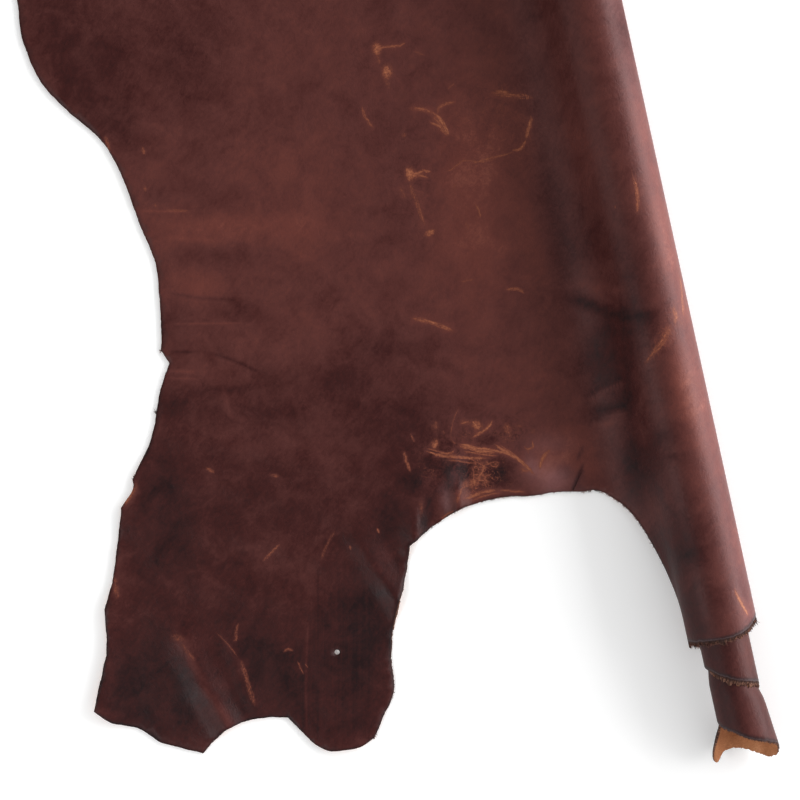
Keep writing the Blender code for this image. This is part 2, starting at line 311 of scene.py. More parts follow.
ROLL_ROWS = (
    # from, to, step, step where it is hidden
    (-0.930, SEEN_ALONG, 0.007, 0.035),
    (SEEN_ALONG, 1.040, 0.090, 0.090),
)


def ease(part):
    return part * part * (3.0 - 2.0 * part)


def eased(value, start, end):
    """0 up to the start, 1 from the end on, and smooth between them."""
    return ease(np.clip((value - start) / (end - start), 0.0, 1.0))


def along_curve(table, column):
    """A curve through a table's column that never overshoots its rows."""
    keys = np.array([row[0] for row in table], float)
    values = np.array([row[column] for row in table], float)
    slope = np.diff(values) / np.diff(keys)
    before, after = slope[:-1], slope[1:]
    tangent = np.zeros(len(keys))
    same = before * after > 0.0
    tangent[1:-1][same] = 2.0 * (before * after)[same] / (before + after)[same]

    def read(at):
        at = np.clip(at, keys[0], keys[-1])
        row = np.clip(np.searchsorted(keys, at, side="right"), 1, len(keys) - 1)
        gap = keys[row] - keys[row - 1]
        part = (at - keys[row - 1]) / gap
        bend = part * (1.0 - part) * gap
        lean = (1.0 - part) * tangent[row - 1] - part * tangent[row]
        return values[row - 1] * (1.0 - ease(part)) + values[row] * ease(part) + bend * lean

    return read


neck_end = along_curve(ROLL_NECK_END, 1)
butt_end = along_curve(ROLL_BUTT_END, 1)
winding_radius = along_curve(WINDING, 1)
winding_spring = along_curve(WINDING, 2)
winding_splay = along_curve(WINDING, 3)
climb_angle = along_curve(CLIMB, 1)
climb_foot_radius = along_curve(CLIMB, 2)


def off_line(plan, x0, y0, x1, y1):
    """Distance of the plan's points from a line, and how far along it their nearest point is."""
    run = np.array((x1 - x0, y1 - y0))
    part = np.clip(((plan - (x0, y0)) @ run) / (run @ run), 0.0, 1.0)
    nearest = np.array((x0, y0)) + part[:, None] * run
    return np.linalg.norm(plan - nearest, axis=1), part


def fold_height(plan):
    """How far the folds and their sharper creases lift the sheet off the floor."""
    height = np.zeros(len(plan))
    for x0, y0, x1, y1, half_width, start, end in FOLDS + CREASES:
        off, part = off_line(plan, x0, y0, x1, y1)
        crest = start + (end - start) * part
        shape = np.cos(0.5 * math.pi * np.clip(off / half_width, 0.0, 1.0)) ** 2
        height += crest * shape
    return height


def swell(plan):
    """The soft unevenness that any hide has where it lies."""
    wave = 2.0 * math.pi / SWELL_LENGTH
    x, y = plan[:, 0] * wave, plan[:, 1] * wave
    rise = (np.sin(0.9 * x + 0.4 * y + 1.3 * np.sin(0.23 * y)) * np.sin(0.37 * x - 0.61 * y + 0.7)
            + 0.6 * np.sin(0.31 * x + 1.1 * y + 1.7 * np.sin(0.19 * x + 2.0)))
    return SWELL * np.clip(rise, 0.0, None)


def flank_at(along):
    """The flank's angle, foot radius and straight run, its foot, and its run up to the roll's top."""
    angle, foot_radius = np.radians(climb_angle(along)), climb_foot_radius(along)
    rise = ROLL_AXIS_HEIGHT + MIDDLE * np.cos(angle) - THICKNESS / 2
    straight = np.maximum(0.0, (rise - foot_radius * (1.0 - np.cos(angle))) / np.sin(angle))
    foot = ROLL_AXIS_ACROSS - (MIDDLE + foot_radius) * np.sin(angle) - straight * np.cos(angle)
    return angle, foot_radius, straight, foot, foot_radius * angle + straight + MIDDLE * angle


def lay(plan):
    """Middle of the sheet, in place, for points of the plan."""
    across, along = plan[:, 0], plan[:, 1]
    angle, foot_radius, straight, foot, whole = flank_at(along)
    bend_run = foot_radius * angle
    run = whole * (across - foot) / (ROLL_TOP_ACROSS - foot)

    bend = np.clip(run, 0.0, bend_run) / foot_radius
    up = np.clip(run - bend_run, 0.0, straight)
    x = foot + foot_radius * np.sin(bend) + up * np.cos(angle)
    z = THICKNESS / 2 + foot_radius * (1.0 - np.cos(bend)) + up * np.sin(angle)
    flat = run <= 0.0
    x[flat] = across[flat]
    z += eased(foot - across, 0.0, LEVEL_RUN) * (fold_height(plan) + swell(plan))

    over = run > bend_run + straight
    turn = np.degrees((run - whole) / MIDDLE)
    radius = np.full(len(plan), MIDDLE)
    wound = across > ROLL_TOP_ACROSS
    turn[wound] = turn_of(across[wound])
    past = np.where(turn >= 360.0, np.clip(neck_end(turn - 360.0) - along, 0.0, None), 0.0)
    opened = winding_radius(turn) - THICKNESS / 2
    opened += winding_spring(turn) * eased(past, 0.0, SPRING_RUN) + winding_splay(turn) * past
    radius[wound] = opened[wound]
    way = np.radians(turn)
    x[over] = (ROLL_AXIS_ACROSS + radius * np.sin(way))[over]
    z[over] = (ROLL_AXIS_HEIGHT + radius * np.cos(way))[over]
    return np.stack((x, along, z), axis=1)


def plan_of_turn(turn):
    return ROLL_TOP_ACROSS + turn * ACROSS_PER_DEGREE


def turn_of(across):
    return (across - ROLL_TOP_ACROSS) / ACROSS_PER_DEGREE


def face_out(plan):
    """Unit direction out of the grain side, for points of the plan."""
    nudge = 0.0004
    east = lay(plan + (nudge, 0.0)) - lay(plan - (nudge, 0.0))
    north = lay(plan + (0.0, nudge)) - lay(plan - (0.0, nudge))
    out = np.cross(east, north)
    return out / np.linalg.norm(out, axis=1)[:, None]


# ---------------------------------------------------------------- the photograph's pixels


def pixels_of(points):
    """Where points show in the photograph's view, in pixels."""
    spread = CAMERA_HEIGHT / (CAMERA_HEIGHT - points[:, 2])
    east = (points[:, 0] - CAMERA_ACROSS) * spread
    north = (points[:, 1] - CAMERA_ALONG) * spread
    cos, sin = math.cos(ROLL_LEAN), math.sin(ROLL_LEAN)
    scale = PICTURE / VIEW_SPAN
    right = (east * cos - north * sin) * scale
    up = (east * sin + north * cos) * scale
    return np.stack((PICTURE / 2 + right, PICTURE / 2 - up), axis=1)


def plan_under(pixels):
    """Points of the plan that show at the photograph's pixels."""
    pixels = np.array(pixels, float).reshape(-1, 2)
    cos, sin = math.cos(ROLL_LEAN), math.sin(ROLL_LEAN)
    right = (pixels[:, 0] - PICTURE / 2) * VIEW_SPAN / PICTURE
    up = (PICTURE / 2 - pixels[:, 1]) * VIEW_SPAN / PICTURE
    plan = np.stack((CAMERA_ACROSS + right * cos + up * sin,
                     CAMERA_ALONG - right * sin + up * cos), axis=1)
    nudge = 0.0005
    for _ in range(25):
        here = pixels_of(lay(plan))
        east = (pixels_of(lay(plan + (nudge, 0.0))) - here) / nudge
        north = (pixels_of(lay(plan + (0.0, nudge))) - here) / nudge
        miss = pixels - here
        spin = east[:, 0] * north[:, 1] - east[:, 1] * north[:, 0]
        spin = np.where(np.abs(spin) < 1e4, -1e4, spin)
        step = np.stack((miss[:, 0] * north[:, 1] - miss[:, 1] * north[:, 0],
                         east[:, 0] * miss[:, 1] - east[:, 1] * miss[:, 0]), axis=1) / spin[:, None]
        plan = plan + np.clip(step, -0.02, 0.02)
    return plan


# ---------------------------------------------------------------- the plan's outline


def smooth_edge(rows, step_at):
    """Points along a smooth curve through the rows, which breaks at the corners."""
    points = [np.array(row[:2]) for row in rows]

    def tangent(index, ahead):
        lone_end = index in (0, len(points) - 1) or "corner" in rows[index]
        before = points[index if lone_end and ahead else index - 1]
        after = points[index if lone_end and not ahead else index + 1]
        reach = np.linalg.norm(points[index] - before) + np.linalg.norm(after - points[index])
        return (after - before) / reach

    edge = []
    for index in range(len(points) - 1):
        start, end = points[index], points[index + 1]
        length = np.linalg.norm(end - start)
        leave, arrive = tangent(index, True) * length, tangent(index + 1, False) * length
        count = max(1, round(length / step_at(start[1])))
        for part in np.arange(count) / count:
            bend = part * (1.0 - part) * ((1.0 - part) * leave - part * arrive)
            edge.append(start * (1.0 - ease(part)) + end * ease(part) + bend)
    return edge


def edge_step(along):
    return EDGE_SEEN_STEP if along < SEEN_ALONG else EDGE_PLAIN_STEP


def roll_turns():
    return np.arange(TURN_STEP, LAST_TURN + 1, TURN_STEP)


def plan_outline():
    """The whole cut edge on the plan, anticlockwise."""
    edge = smooth_edge(BELLY_AND_NECK, edge_step)
    edge.append(np.array(BELLY_AND_NECK[-1][:2]))
    for turn in FLANK_TURNS:
        along = float(neck_end(turn))
        *_, foot, whole = flank_at(along)
        back = math.radians(turn) * MIDDLE * (ROLL_TOP_ACROSS - foot) / whole
        edge.append(np.array((ROLL_TOP_ACROSS + back, along)))
    for turn in np.arange(EDGE_TURN_STEP, LAST_TURN + 1, EDGE_TURN_STEP):
        edge.append(np.array((plan_of_turn(turn), float(neck_end(turn)))))
    neck, butt = float(neck_end(LAST_TURN)), float(butt_end(LAST_TURN))
    backbone = np.arange(neck + BACKBONE_STEP / 2, butt, BACKBONE_STEP)
    edge += [np.array((plan_of_turn(LAST_TURN), along)) for along in backbone[:-1]]
    for turn in roll_turns()[::-1]:
        edge.append(np.array((plan_of_turn(turn), float(butt_end(turn)))))
    edge += smooth_edge(BUTT_AND_HIND_SHANK + BELLY_AND_NECK[:1], edge_step)
    return np.array(edge)


def roughened(edge):
    """The outline with the small waver of a cut, but not where it runs along the roll."""
    waver = np.zeros_like(edge)
    for index, (across, along) in enumerate(edge):
        if across < FLANK_START:
            spot = (across * 90.0, along * 90.0, 0.0)
            fine = (across * 420.0, along * 420.0, 5.0)
            waver[index] = (WAVER * noise.noise(spot) + FINE_WAVER * noise.noise(fine),
                            WAVER * noise.noise((spot[1], spot[0], 9.0)))
        elif NECK_CORNER < across < plan_of_turn(LAST_TURN) and along < NECK_ALONG:
            waver[index, 1] = (TORN_WAVER * noise.noise((across * 260.0, 0.0, 2.0))
                               + TORN_WAVER * noise.noise((across * 900.0, 0.0, 4.0)))
    return edge + waver


def inside(edge, points):
    """Which points are inside the closed edge."""
    within = np.zeros(len(points), dtype=bool)
    for (x0, y0), (x1, y1) in zip(edge, np.roll(edge, -1, axis=0)):
        if y0 == y1:
            continue
        crosses = (y0 > points[:, 1]) != (y1 > points[:, 1])
        at = x0 + (points[:, 1] - y0) * (x1 - x0) / (y1 - y0)
        within ^= crosses & (points[:, 0] < at)
    return within


def tree_of(plan):
    """The plan's points in a tree, to be searched for the nearest."""
    tree = kdtree.KDTree(len(plan))
    for index, (across, along) in enumerate(plan):
        tree.insert((across, along, 0.0), index)
    tree.balance()
    return tree


class Points:
    """Points of the plan, each kept only if no earlier one is too near."""

    def __init__(self, edge):
        self.edge = edge
        self.plan = edge

    def add(self, points, room):
        """Adds those that are inside the edge with room round them; gives their numbers, or -1."""
        tree = tree_of(self.plan)
        kept = inside(self.edge, points)
        for index in np.flatnonzero(kept):
            kept[index] = tree.find((*points[index], 0.0))[2] > room
        numbers = np.full(len(points), -1)
        numbers[kept] = len(self.plan) + np.arange(kept.sum())
        self.plan = np.concatenate((self.plan, points[kept]))
        return numbers


def thinned(points, room):
    """The points without those that share a square of the given size."""
    cells = np.round(points / room).astype(int)
    _, first = np.unique(cells, axis=0, return_index=True)
    return points[np.sort(first)]


def grid(step, low, high):
    """A grid of points in near-even triangles: each second row is set off by half a step."""
    along = np.arange(low[1], high[1], step * 0.87)
    across = np.arange(low[0], high[0], step)
    points = np.stack(np.meshgrid(across, along), axis=-1)
    points[1::2, :, 0] += step / 2
    return points.reshape(-1, 2)


def floor_points(coarse):
    """Points of the plan where the sheet lies on the floor, closer together on the folds."""
    for step, stretch in GRID_STEPS:
        if coarse and stretch == "seen":
            continue
        step = step * (GRID_COARSE if coarse else 1.0)
        points = grid(step, GRID_LOW, GRID_HIGH)
        if stretch == "fold":
            points = points[fold_height(points) > FOLD_START]
        elif stretch == "seen":
            points = points[points[:, 1] < SEEN_ALONG]
        yield points, GRID_ROOM * step


def flank_lines(coarse):
    """Lines of points along the flank on the plan."""
    rows = np.concatenate([np.arange(low, high, step)[::one_in if coarse else 1]
                           for low, high, step, one_in in FLANK_ROWS])
    step = FLANK_STEP * (2 if coarse else 1)
    for across in np.arange(ROLL_TOP_ACROSS, FLANK_START, -step):
        yield np.stack((np.full(len(rows), across), rows), axis=1)


def roll_rows(turn, coarse):
    """Where points stand along the roll at a turn, between its two ends."""
    start, end = float(neck_end(turn)), float(butt_end(turn))
    step = NECK_END_STEP * (2 if coarse else 1)
    hidden = coarse or turn > HIDDEN_TURN
    rows = [np.arange(start + step, ROLL_ROWS[0][0], step)]
    rows += [np.arange(low, high, plain if hidden else fine) for low, high, fine, plain in ROLL_ROWS]
    rows += [np.arange(ROLL_ROWS[-1][1] + 0.01, end - 0.004, BUTT_END_STEP)]
    rows = np.concatenate(rows)
    return rows[(rows > start + 0.6 * step) & (rows < end - 0.006)]


def far_line(numbers, along):
    """Edges that hold a line together where its points are far apart."""
    keep = numbers >= 0
    numbers, along = numbers[keep], along[keep]
    return [(numbers[i], numbers[i + 1]) for i in range(len(numbers) - 1)
            if along[i + 1] - along[i] > LONG_GAP]


def triangles_of(edge, strokes, coarse):
    """Points and triangles that fill the plan's outline, with the hole left open."""
    points = Points(edge)
    if len(strokes):
        points.add(strokes, STROKE_ROOM)

    rolled = list(flank_lines(coarse))
    for turn in roll_turns()[:-1]:
        rows = roll_rows(turn, coarse)
        rolled.append(np.stack((np.full(len(rows), plan_of_turn(turn)), rows), axis=1))
    numbers = points.add(np.concatenate(rolled), ROLL_ROOM)
    lines, first = [], 0
    for line in rolled:
        mine = numbers[first:first + len(line)]
        first += len(line)
        lines += far_line(mine, line[:, 1])
        far_end = np.flatnonzero(np.abs(edge[:, 0] - line[0, 0]) < SAME)
        if len(far_end) and line[0, 0] > ROLL_TOP_ACROSS:
            lines.append((mine[mine >= 0][-1], far_end[np.argmax(edge[far_end, 1])]))
    for more, room in floor_points(coarse):
        points.add(more, room)

    spokes = 2 * math.pi * np.arange(HOLE_SIDES) / HOLE_SIDES
    rim = np.stack((HOLE_ACROSS + HOLE_RADIUS * np.cos(spokes),
                    HOLE_ALONG + HOLE_RADIUS * np.sin(spokes)), axis=1)
    clear = np.linalg.norm(points.plan - (HOLE_ACROSS, HOLE_ALONG), axis=1) > HOLE_ROOM * HOLE_RADIUS
    assert clear[:len(edge)].all()
    shift = np.cumsum(~clear)
    lines = [(a - shift[a], b - shift[b]) for a, b in lines]
    flat = np.concatenate((points.plan[clear], rim))
    hole = len(flat) - HOLE_SIDES + np.arange(HOLE_SIDES)
    lines += list(zip(hole, np.roll(hole, -1)))

    lines = [(int(a), int(b)) for a, b in lines]
    made = delaunay_2d_cdt(flat.tolist(), lines, [list(range(len(edge)))], 1, SAME)
    plan = np.array([tuple(point) for point in made[0]])
    faces = np.array(made[2])
    place = np.full(len(flat), -1)
    for index, sources in enumerate(made[3]):
        place[sources] = index
    faces = faces[~np.isin(faces, place[hole]).all(axis=1)]
    return plan, faces, place[:len(edge)], place[hole]


# ---------------------------------------------------------------- marks on the grain, and light and shade painted on it

SCUFFS = (
    # half width, strength, path in the picture's pixels
    (1.6, 0.70, (375, 43), (376, 50), (378, 56)),
    (1.5, 0.60, (376, 49), (388, 47), (399, 46), (407, 42)),
    (1.5, 0.45, (377, 55), (380, 65)),
    (1.2, 0.30, (413, 51), (421, 54), (426, 56)),
    (1.6, 0.60, (384, 66), (386, 73), (388, 80)),
    (1.8, 0.45, (362, 105), (364, 114), (369, 123), (375, 129)),
    (2.6, 0.40, (408, 108), (416, 109), (425, 110), (434, 114)),
    (1.3, 0.55, (412, 108), (421, 109), (431, 112), (438, 118)),
    (1.7, 1.00, (434, 113), (441, 120), (446, 129), (449, 137)),
    (1.0, 0.60, (432, 117), (439, 123), (444, 130), (448, 136)),
    (1.5, 0.70, (428, 122), (437, 125), (443, 131), (448, 137)),
    (2.4, 0.40, (437, 116), (438, 110), (443, 105), (450, 103), (457, 102)),
    (0.9, 0.45, (438, 112), (441, 107), (448, 104), (456, 101)),
    (1.3, 0.30, (447, 90), (455, 83)),
    (3.4, 0.50, (489, 93), (508, 95), (535, 98)),
    (2.2, 0.60, (493, 92), (509, 92)),
    (2.0, 0.95, (531, 115), (531, 121), (528, 131), (526, 140)),
    (1.6, 0.85, (526, 140), (523, 146), (518, 150), (511, 150)),
    (1.2, 0.50, (516, 151), (504, 155), (487, 159), (469, 165)),
    (1.2, 0.40, (500, 158), (481, 162), (463, 161), (451, 170), (441, 172)),
    (1.8, 0.45, (403, 135), (406, 137)),
    (1.7, 1.00, (407, 167), (408, 175), (410, 182)),
    (1.5, 0.80, (409, 174), (418, 173), (424, 171), (432, 172)),
    (1.5, 0.65, (410, 176), (418, 175), (429, 178)),
    (2.6, 0.38, (409, 180), (412, 190), (417, 203), (421, 215), (426, 228)),
    (1.4, 0.30, (399, 186), (406, 199)),
    (1.4, 0.80, (425, 235), (430, 233), (434, 230)),
    (1.1, 0.60, (475, 203), (479, 211), (481, 219)),
    (1.5, 0.30, (465, 221), (469, 231)),
    (1.5, 0.30, (452, 190), (457, 183)),
    (1.8, 0.60, (505, 290), (518, 289), (525, 294)),
    (1.5, 0.35, (460, 282), (475, 279)),
    (2.4, 0.60, (410, 318), (430, 322), (455, 332)),
    (1.4, 0.60, (440, 325), (452, 330)),
    (1.5, 0.60, (633, 175), (637, 195), (637, 215)),
    (1.2, 0.35, (615, 205), (616, 209)),
    (1.8, 0.50, (679, 276), (681, 296), (683, 318)),
    (2.2, 0.58, (673, 307), (675, 316), (675, 325)),
    (3.2, 0.40, (672, 322), (666, 335), (657, 348), (644, 366)),
    (1.0, 0.65, (670, 324), (664, 337), (653, 353), (645, 364)),
    (1.0, 0.60, (667, 338), (660, 348), (651, 355)),
    (1.3, 0.85, (733, 588), (740, 602), (748, 617)),
    (2.0, 0.45, (142, 147), (145, 155)),
    (2.0, 0.35, (145, 186), (146, 192)),
    (1.5, 0.30, (155, 203), (156, 208)),
    (2.0, 0.45, (105, 135), (110, 152)),
    (1.5, 0.30, (165, 210), (190, 211)),
    (2.0, 0.40, (205, 467), (215, 473)),
    (2.0, 0.40, (270, 475), (280, 476)),
    (1.6, 0.42, (262, 562), (271, 553), (281, 543)),
    (1.8, 0.25, (320, 562), (327, 545), (336, 529)),
    (1.2, 0.45, (350, 545), (351, 550)),
    (1.2, 0.55, (377, 528), (379, 533)),
    (2.6, 0.70, (134, 485), (130, 495), (124, 505)),
    (3.6, 0.30, (113, 575), (118, 600)),
    (1.6, 0.36, (239, 622), (236, 632), (236, 640), (232, 641)),
    (2.6, 0.22, (181, 641), (187, 651), (196, 662)),
    (0.9, 0.32, (215, 631), (224, 640), (232, 649), (239, 659)),
    (2.8, 0.35, (240, 658), (244, 670), (248, 684), (252, 697), (256, 708)),
    (1.6, 0.36, (283, 652), (288, 649), (294, 651)),
    (0.8, 0.45, (297, 660), (304, 675)),
    (0.8, 0.35, (305, 663), (308, 668)),
    # the crowd of them beside the arch
    (2.2, 0.90, (472, 421), (480, 430)),
    (1.4, 0.80, (493, 419), (490, 425), (485, 430), (480, 433), (475, 436), (471, 438)),
    (0.8, 0.50, (489, 421), (487, 427), (481, 432), (473, 434)),
    (1.2, 0.60, (460, 424), (469, 421)),
    (2.0, 0.30, (436, 420), (436, 430)),
    (2.0, 0.80, (433, 449), (437, 441)),
    (1.1, 0.35, (443, 430), (444, 435)),
    (2.8, 0.85, (457, 446), (467, 447), (475, 450), (485, 451), (497, 453)),
    (1.2, 1.00, (457, 444), (467, 445), (476, 448), (486, 449), (504, 453), (515, 457)),
    (0.9, 0.65, (461, 451), (474, 453), (487, 455), (500, 456)),
    (1.7, 1.00, (493, 443), (501, 449), (511, 455), (519, 460), (525, 465), (536, 476)),
    (0.9, 0.65, (498, 444), (507, 450), (517, 457), (528, 467)),
    (1.4, 0.90, (423, 450), (435, 454), (444, 456), (453, 457), (472, 458), (492, 458)),
    (0.9, 0.60, (425, 448), (437, 451), (448, 454), (458, 455)),
    (0.9, 0.65, (432, 458), (441, 454), (450, 453), (456, 450), (457, 445)),
    (0.9, 0.55, (446, 460), (458, 461), (470, 463), (480, 462)),
    (0.8, 0.45, (464, 455), (473, 460), (484, 466), (492, 470)),
    (0.8, 0.45, (472, 470), (482, 466), (494, 462), (502, 463)),
    (0.9, 0.35, (451, 436), (451, 440), (457, 445)),
    (1.0, 0.40, (410, 433), (415, 443)),
    (2.0, 0.50, (404, 450), (406, 460), (409, 468), (411, 473)),
    (1.0, 0.65, (532, 440), (533, 447), (527, 449), (523, 445)),
    (0.8, 0.40, (527, 449), (529, 455)),
    (2.2, 0.75, (551, 449), (545, 455), (541, 462), (540, 470)),
    (1.4, 0.70, (478, 459), (484, 465), (481, 474), (475, 481)),
    (0.9, 0.60, (470, 477), (478, 474), (487, 476), (493, 473)),
    (0.9, 0.60, (468, 483), (477, 480), (486, 481)),
    (0.8, 0.55, (472, 466), (474, 476), (471, 487)),
    (1.8, 0.60, (480, 472), (479, 479), (476, 487)),
    (1.4, 0.65, (483, 477), (487, 483)),
    (1.6, 0.60, (485, 460), (489, 465), (496, 467), (499, 464)),
    (1.6, 0.55, (465, 481), (467, 488)),
    (1.3, 0.55, (463, 485), (459, 495), (457, 504)),
    (2.0, 0.75, (463, 500), (472, 496), (485, 492), (498, 490)),
    (1.0, 0.60, (470, 502), (481, 497), (492, 494), (503, 493)),
    (1.5, 0.50, (497, 490), (512, 491), (527, 492)),
    (2.4, 0.40, (520, 470), (531, 470)),
    (0.8, 0.35, (460, 405), (453, 422), (450, 440)),
    (1.0, 0.50, (505, 426), (510, 427)),
    (1.6, 0.50, (505, 431), (510, 434)),
    (1.0, 0.35, (508, 430), (511, 437)),
    (1.5, 0.50, (440, 519), (455, 510)),
)

PATCHES = (
    # pixel x, pixel y, half width, half height, lean, darkness (or warmth if below 0)
    # the upper left, under the belly's edge
    (90, 60, 55, 80, 0, 0.55),
    (50, 10, 30, 40, 0, 0.35),
    (180, 60, 45, 80, 0, 0.30),
    (112, 118, 28, 28, 0, 0.30),
    (240, 80, 22, 45, 0, -0.15),
    (290, 170, 60, 40, 0, -0.22),
    (225, 225, 85, 17, 0, -0.50),
    (300, 232, 35, 20, 0, -0.35),
    (155, 197, 14, 12, 0, 0.25),
    (222, 256, 50, 10, 0, 0.25),
    (300, 257, 22, 12, 0, -0.25),
    (197, 286, 32, 16, 0, -0.50),
    (240, 312, 20, 12, 0, 0.30),
    (172, 318, 20, 18, 0, 0.30),
    (300, 316, 20, 12, 0, -0.20),
    (375, 350, 28, 20, 0, 0.35),
    (270, 380, 20, 15, 0, 0.25),
    (345, 380, 32, 20, 0, 0.40),
    (212, 372, 26, 12, 0, -0.28),
    (180, 408, 25, 14, 0, 0.28),
    (270, 408, 18, 14, 0, 0.20),
    (300, 415, 150, 30, 0, 0.22),
    (235, 438, 60, 28, 0, -0.16),
    # the upper right, as far as the flank
    (545, 40, 45, 60, 0, 0.28),
    # painted sheen: warmth where the sheet begins to rise toward the flank (these four rows)
    (475, 185, 46, 105, 0, -0.70),
    (500, 130, 24, 45, 0, -0.30),
    (455, 150, 24, 50, 0, -0.30),
    (480, 248, 35, 40, 0, -0.35),
    # painted shade along the foot of the flank, which faces away from the light
    (553, 205, 15, 88, -8, 0.40),
    (522, 215, 12, 80, -8, -0.22),
    (538, 262, 14, 38, 0, -0.35),
    (585, 235, 30, 45, 0, 0.38),
    (630, 265, 20, 60, 0, 0.38),
    # darker at the top of the roll, taking back some of the painted light there
    (624, 25, 14, 45, -12, 0.55),
    (603, 365, 26, 45, 0, 0.58),
    (633, 405, 24, 75, 0, 0.42),
    # painted shade on the left side of the outer turn, near its end
    (702, 632, 16, 14, -10, 0.35),
    (128, 135, 16, 30, -30, 0.30),
    (640, 465, 22, 30, 0, 0.75),
    (662, 450, 18, 30, 0, 0.40),
    # painted shade on the left side of the roll's lower part, which faces away from the light (this
    # row and the next)
    (675, 545, 32, 50, 0, 0.62),
    (690, 612, 16, 44, -14, 0.62),
    (718, 606, 10, 40, -14, 0.20),
    (600, 448, 14, 16, -20, 0.40),
    (655, 498, 26, 22, 0, 0.25),
    (600, 345, 22, 28, 0, 0.25),
    # painted shade on the left side of the roll's lower part
    (688, 555, 14, 12, 0, 0.60),
    # painted highlight: warmer along the roll's lit right side (these four rows)
    (688, 390, 16, 75, -12, -0.75),
    (690, 285, 12, 50, -12, -0.60),
    (662, 235, 10, 50, -12, -0.70),
    (640, 130, 10, 45, -12, -0.45),
    # round the arch
    (405, 420, 45, 45, 0, 0.25),
    (510, 390, 60, 30, 0, -0.15),
    (555, 468, 26, 24, 10, -1.00),
    (548, 470, 14, 18, 0, -0.90),
    (585, 452, 28, 22, -20, -0.65),
    (570, 432, 22, 12, 0, -0.40),
    (565, 471, 8, 8, -10, 0.85),
    # painted shadow along the slit in the arch
    (578, 476, 2.6, 13, 23, 0.90),
    (465, 497, 26, 8, -10, -0.70),
    (429, 482, 8, 6, -35, -0.40),
    (520, 474, 14, 10, 20, -0.40),
    (500, 471, 17, 13, -10, 0.95),
    (452, 468, 14, 7, 0, 0.55),
    (470, 470, 22, 14, 0, 0.45),
    (487, 438, 14, 6, 0, 0.35),
    (510, 481, 22, 9, -8, 0.50),
    (395, 530, 32, 60, 0, 0.55),
    (418, 470, 22, 26, 0, 0.35),
    # painted shade in the valleys between the buckles at the arch (these four rows)
    (430, 503, 6, 17, 12, 0.97),
    (418, 482, 6, 10, 12, 0.55),
    (424, 522, 5, 14, 8, 0.80),
    (450, 484, 4, 12, -8, 0.50),
    # the lower left and the shank
    (260, 500, 190, 120, 0, 0.52),
    (415, 345, 34, 22, 0, 0.22),
    (310, 440, 40, 40, 0, -0.15),
    (155, 490, 35, 60, 0, 0.50),
    (180, 525, 28, 70, 0, 0.35),
    (270, 555, 30, 22, 0, -0.14),
    (350, 715, 30, 30, 0, 0.35),
    (250, 680, 170, 90, 0, 0.82),
    (337, 578, 17, 62, 0, 0.40),
    (243, 722, 18, 18, 0, 0.40),
    (150, 545, 26, 60, 0, 0.25),
    (365, 625, 34, 90, 0, 0.90),
    (140, 690, 45, 70, 0, 0.90),
    (182, 700, 14, 40, 0, 0.80),
    (182, 642, 12, 10, 20, -0.75),
    (128, 496, 8, 16, 32, -0.80),
    (218, 668, 22, 34, -30, -0.35),
)

BANDS = (
    # half width, darkness (or warmth if below 0), path in the picture's pixels
    (7.5, 0.80, (560, 292), (575, 299), (592, 305), (610, 312), (635, 316), (668, 317)),
    (7.0, 0.35, (595, 328), (650, 332)),
    (4.0, -0.35, (575, 282), (600, 288), (650, 293)),
    (4.0, -0.60, (585, 405), (605, 392), (627, 382)),
    (4.5, 0.75, (583, 421), (605, 411), (634, 399)),
    (3.0, 0.40, (580, 400), (600, 388), (625, 376)),
    (4.5, -0.50, (592, 432), (610, 422), (628, 412)),
    # painted shade down the concave band where the sheet turns up into the roll (these two rows)
    (9.0, 0.30, (626, 270), (628, 350), (632, 430), (632, 520)),
    (8.0, 0.40, (635, 432), (635, 476)),
    (6.0, 0.45, (650, 437), (676, 436)),
    (5.0, 0.40, (660, 457), (700, 457)),
    (5.0, -0.55, (682, 405), (708, 405)),
    (8.0, -0.45, (688, 441), (708, 441)),
    (2.0, 0.60, (576, 462), (580, 453), (584, 444)),
    # painted shadow inside the slit in the arch
    (1.2, 0.90, (571, 491), (576, 480), (584, 463)),
    (1.3, -0.60, (140, 211), (190, 212)),
    (3.0, -0.35, (160, 238), (225, 241)),
    (2.0, 0.35, (165, 292), (200, 298), (240, 300)),
    (1.2, -0.45, (170, 324), (245, 323)),
    (1.6, 0.40, (168, 352), (200, 352)),
    (2.0, 0.45, (208, 352), (235, 361), (262, 374)),
    (2.0, -0.50, (166, 371), (198, 372)),
    (1.4, -0.40, (166, 378), (200, 379)),
    (5.0, 0.40, (178, 390), (265, 390)),
    (3.0, -0.35, (222, 385), (232, 420)),
    (5.0, -0.65, (180, 642), (192, 664), (206, 690), (222, 712), (238, 738)),
    (5.0, -0.45, (222, 640), (238, 662), (246, 684)),
    (1.0, 0.45, (318, 560), (318, 745)),
    (0.9, 0.35, (326, 600), (327, 740)),
    (1.4, -0.40, (308, 620), (306, 680), (307, 735)),
    (1.0, 0.50, (303, 662), (303, 735)),
    (1.6, 0.35, (345, 560), (343, 650)),
)

SCRATCHED = (
    # fine curled scratches: pixel x, pixel y, half width, half height, lean, how much
    (464, 462, 38, 30, 5, 1.00),
    (476, 486, 26, 14, -10, 0.50),
    (515, 432, 26, 14, 0, 0.55),
    (492, 128, 60, 44, -12, 0.35),
    (415, 190, 22, 34, 0, 0.30),
    (664, 330, 16, 28, 25, 0.60),
)

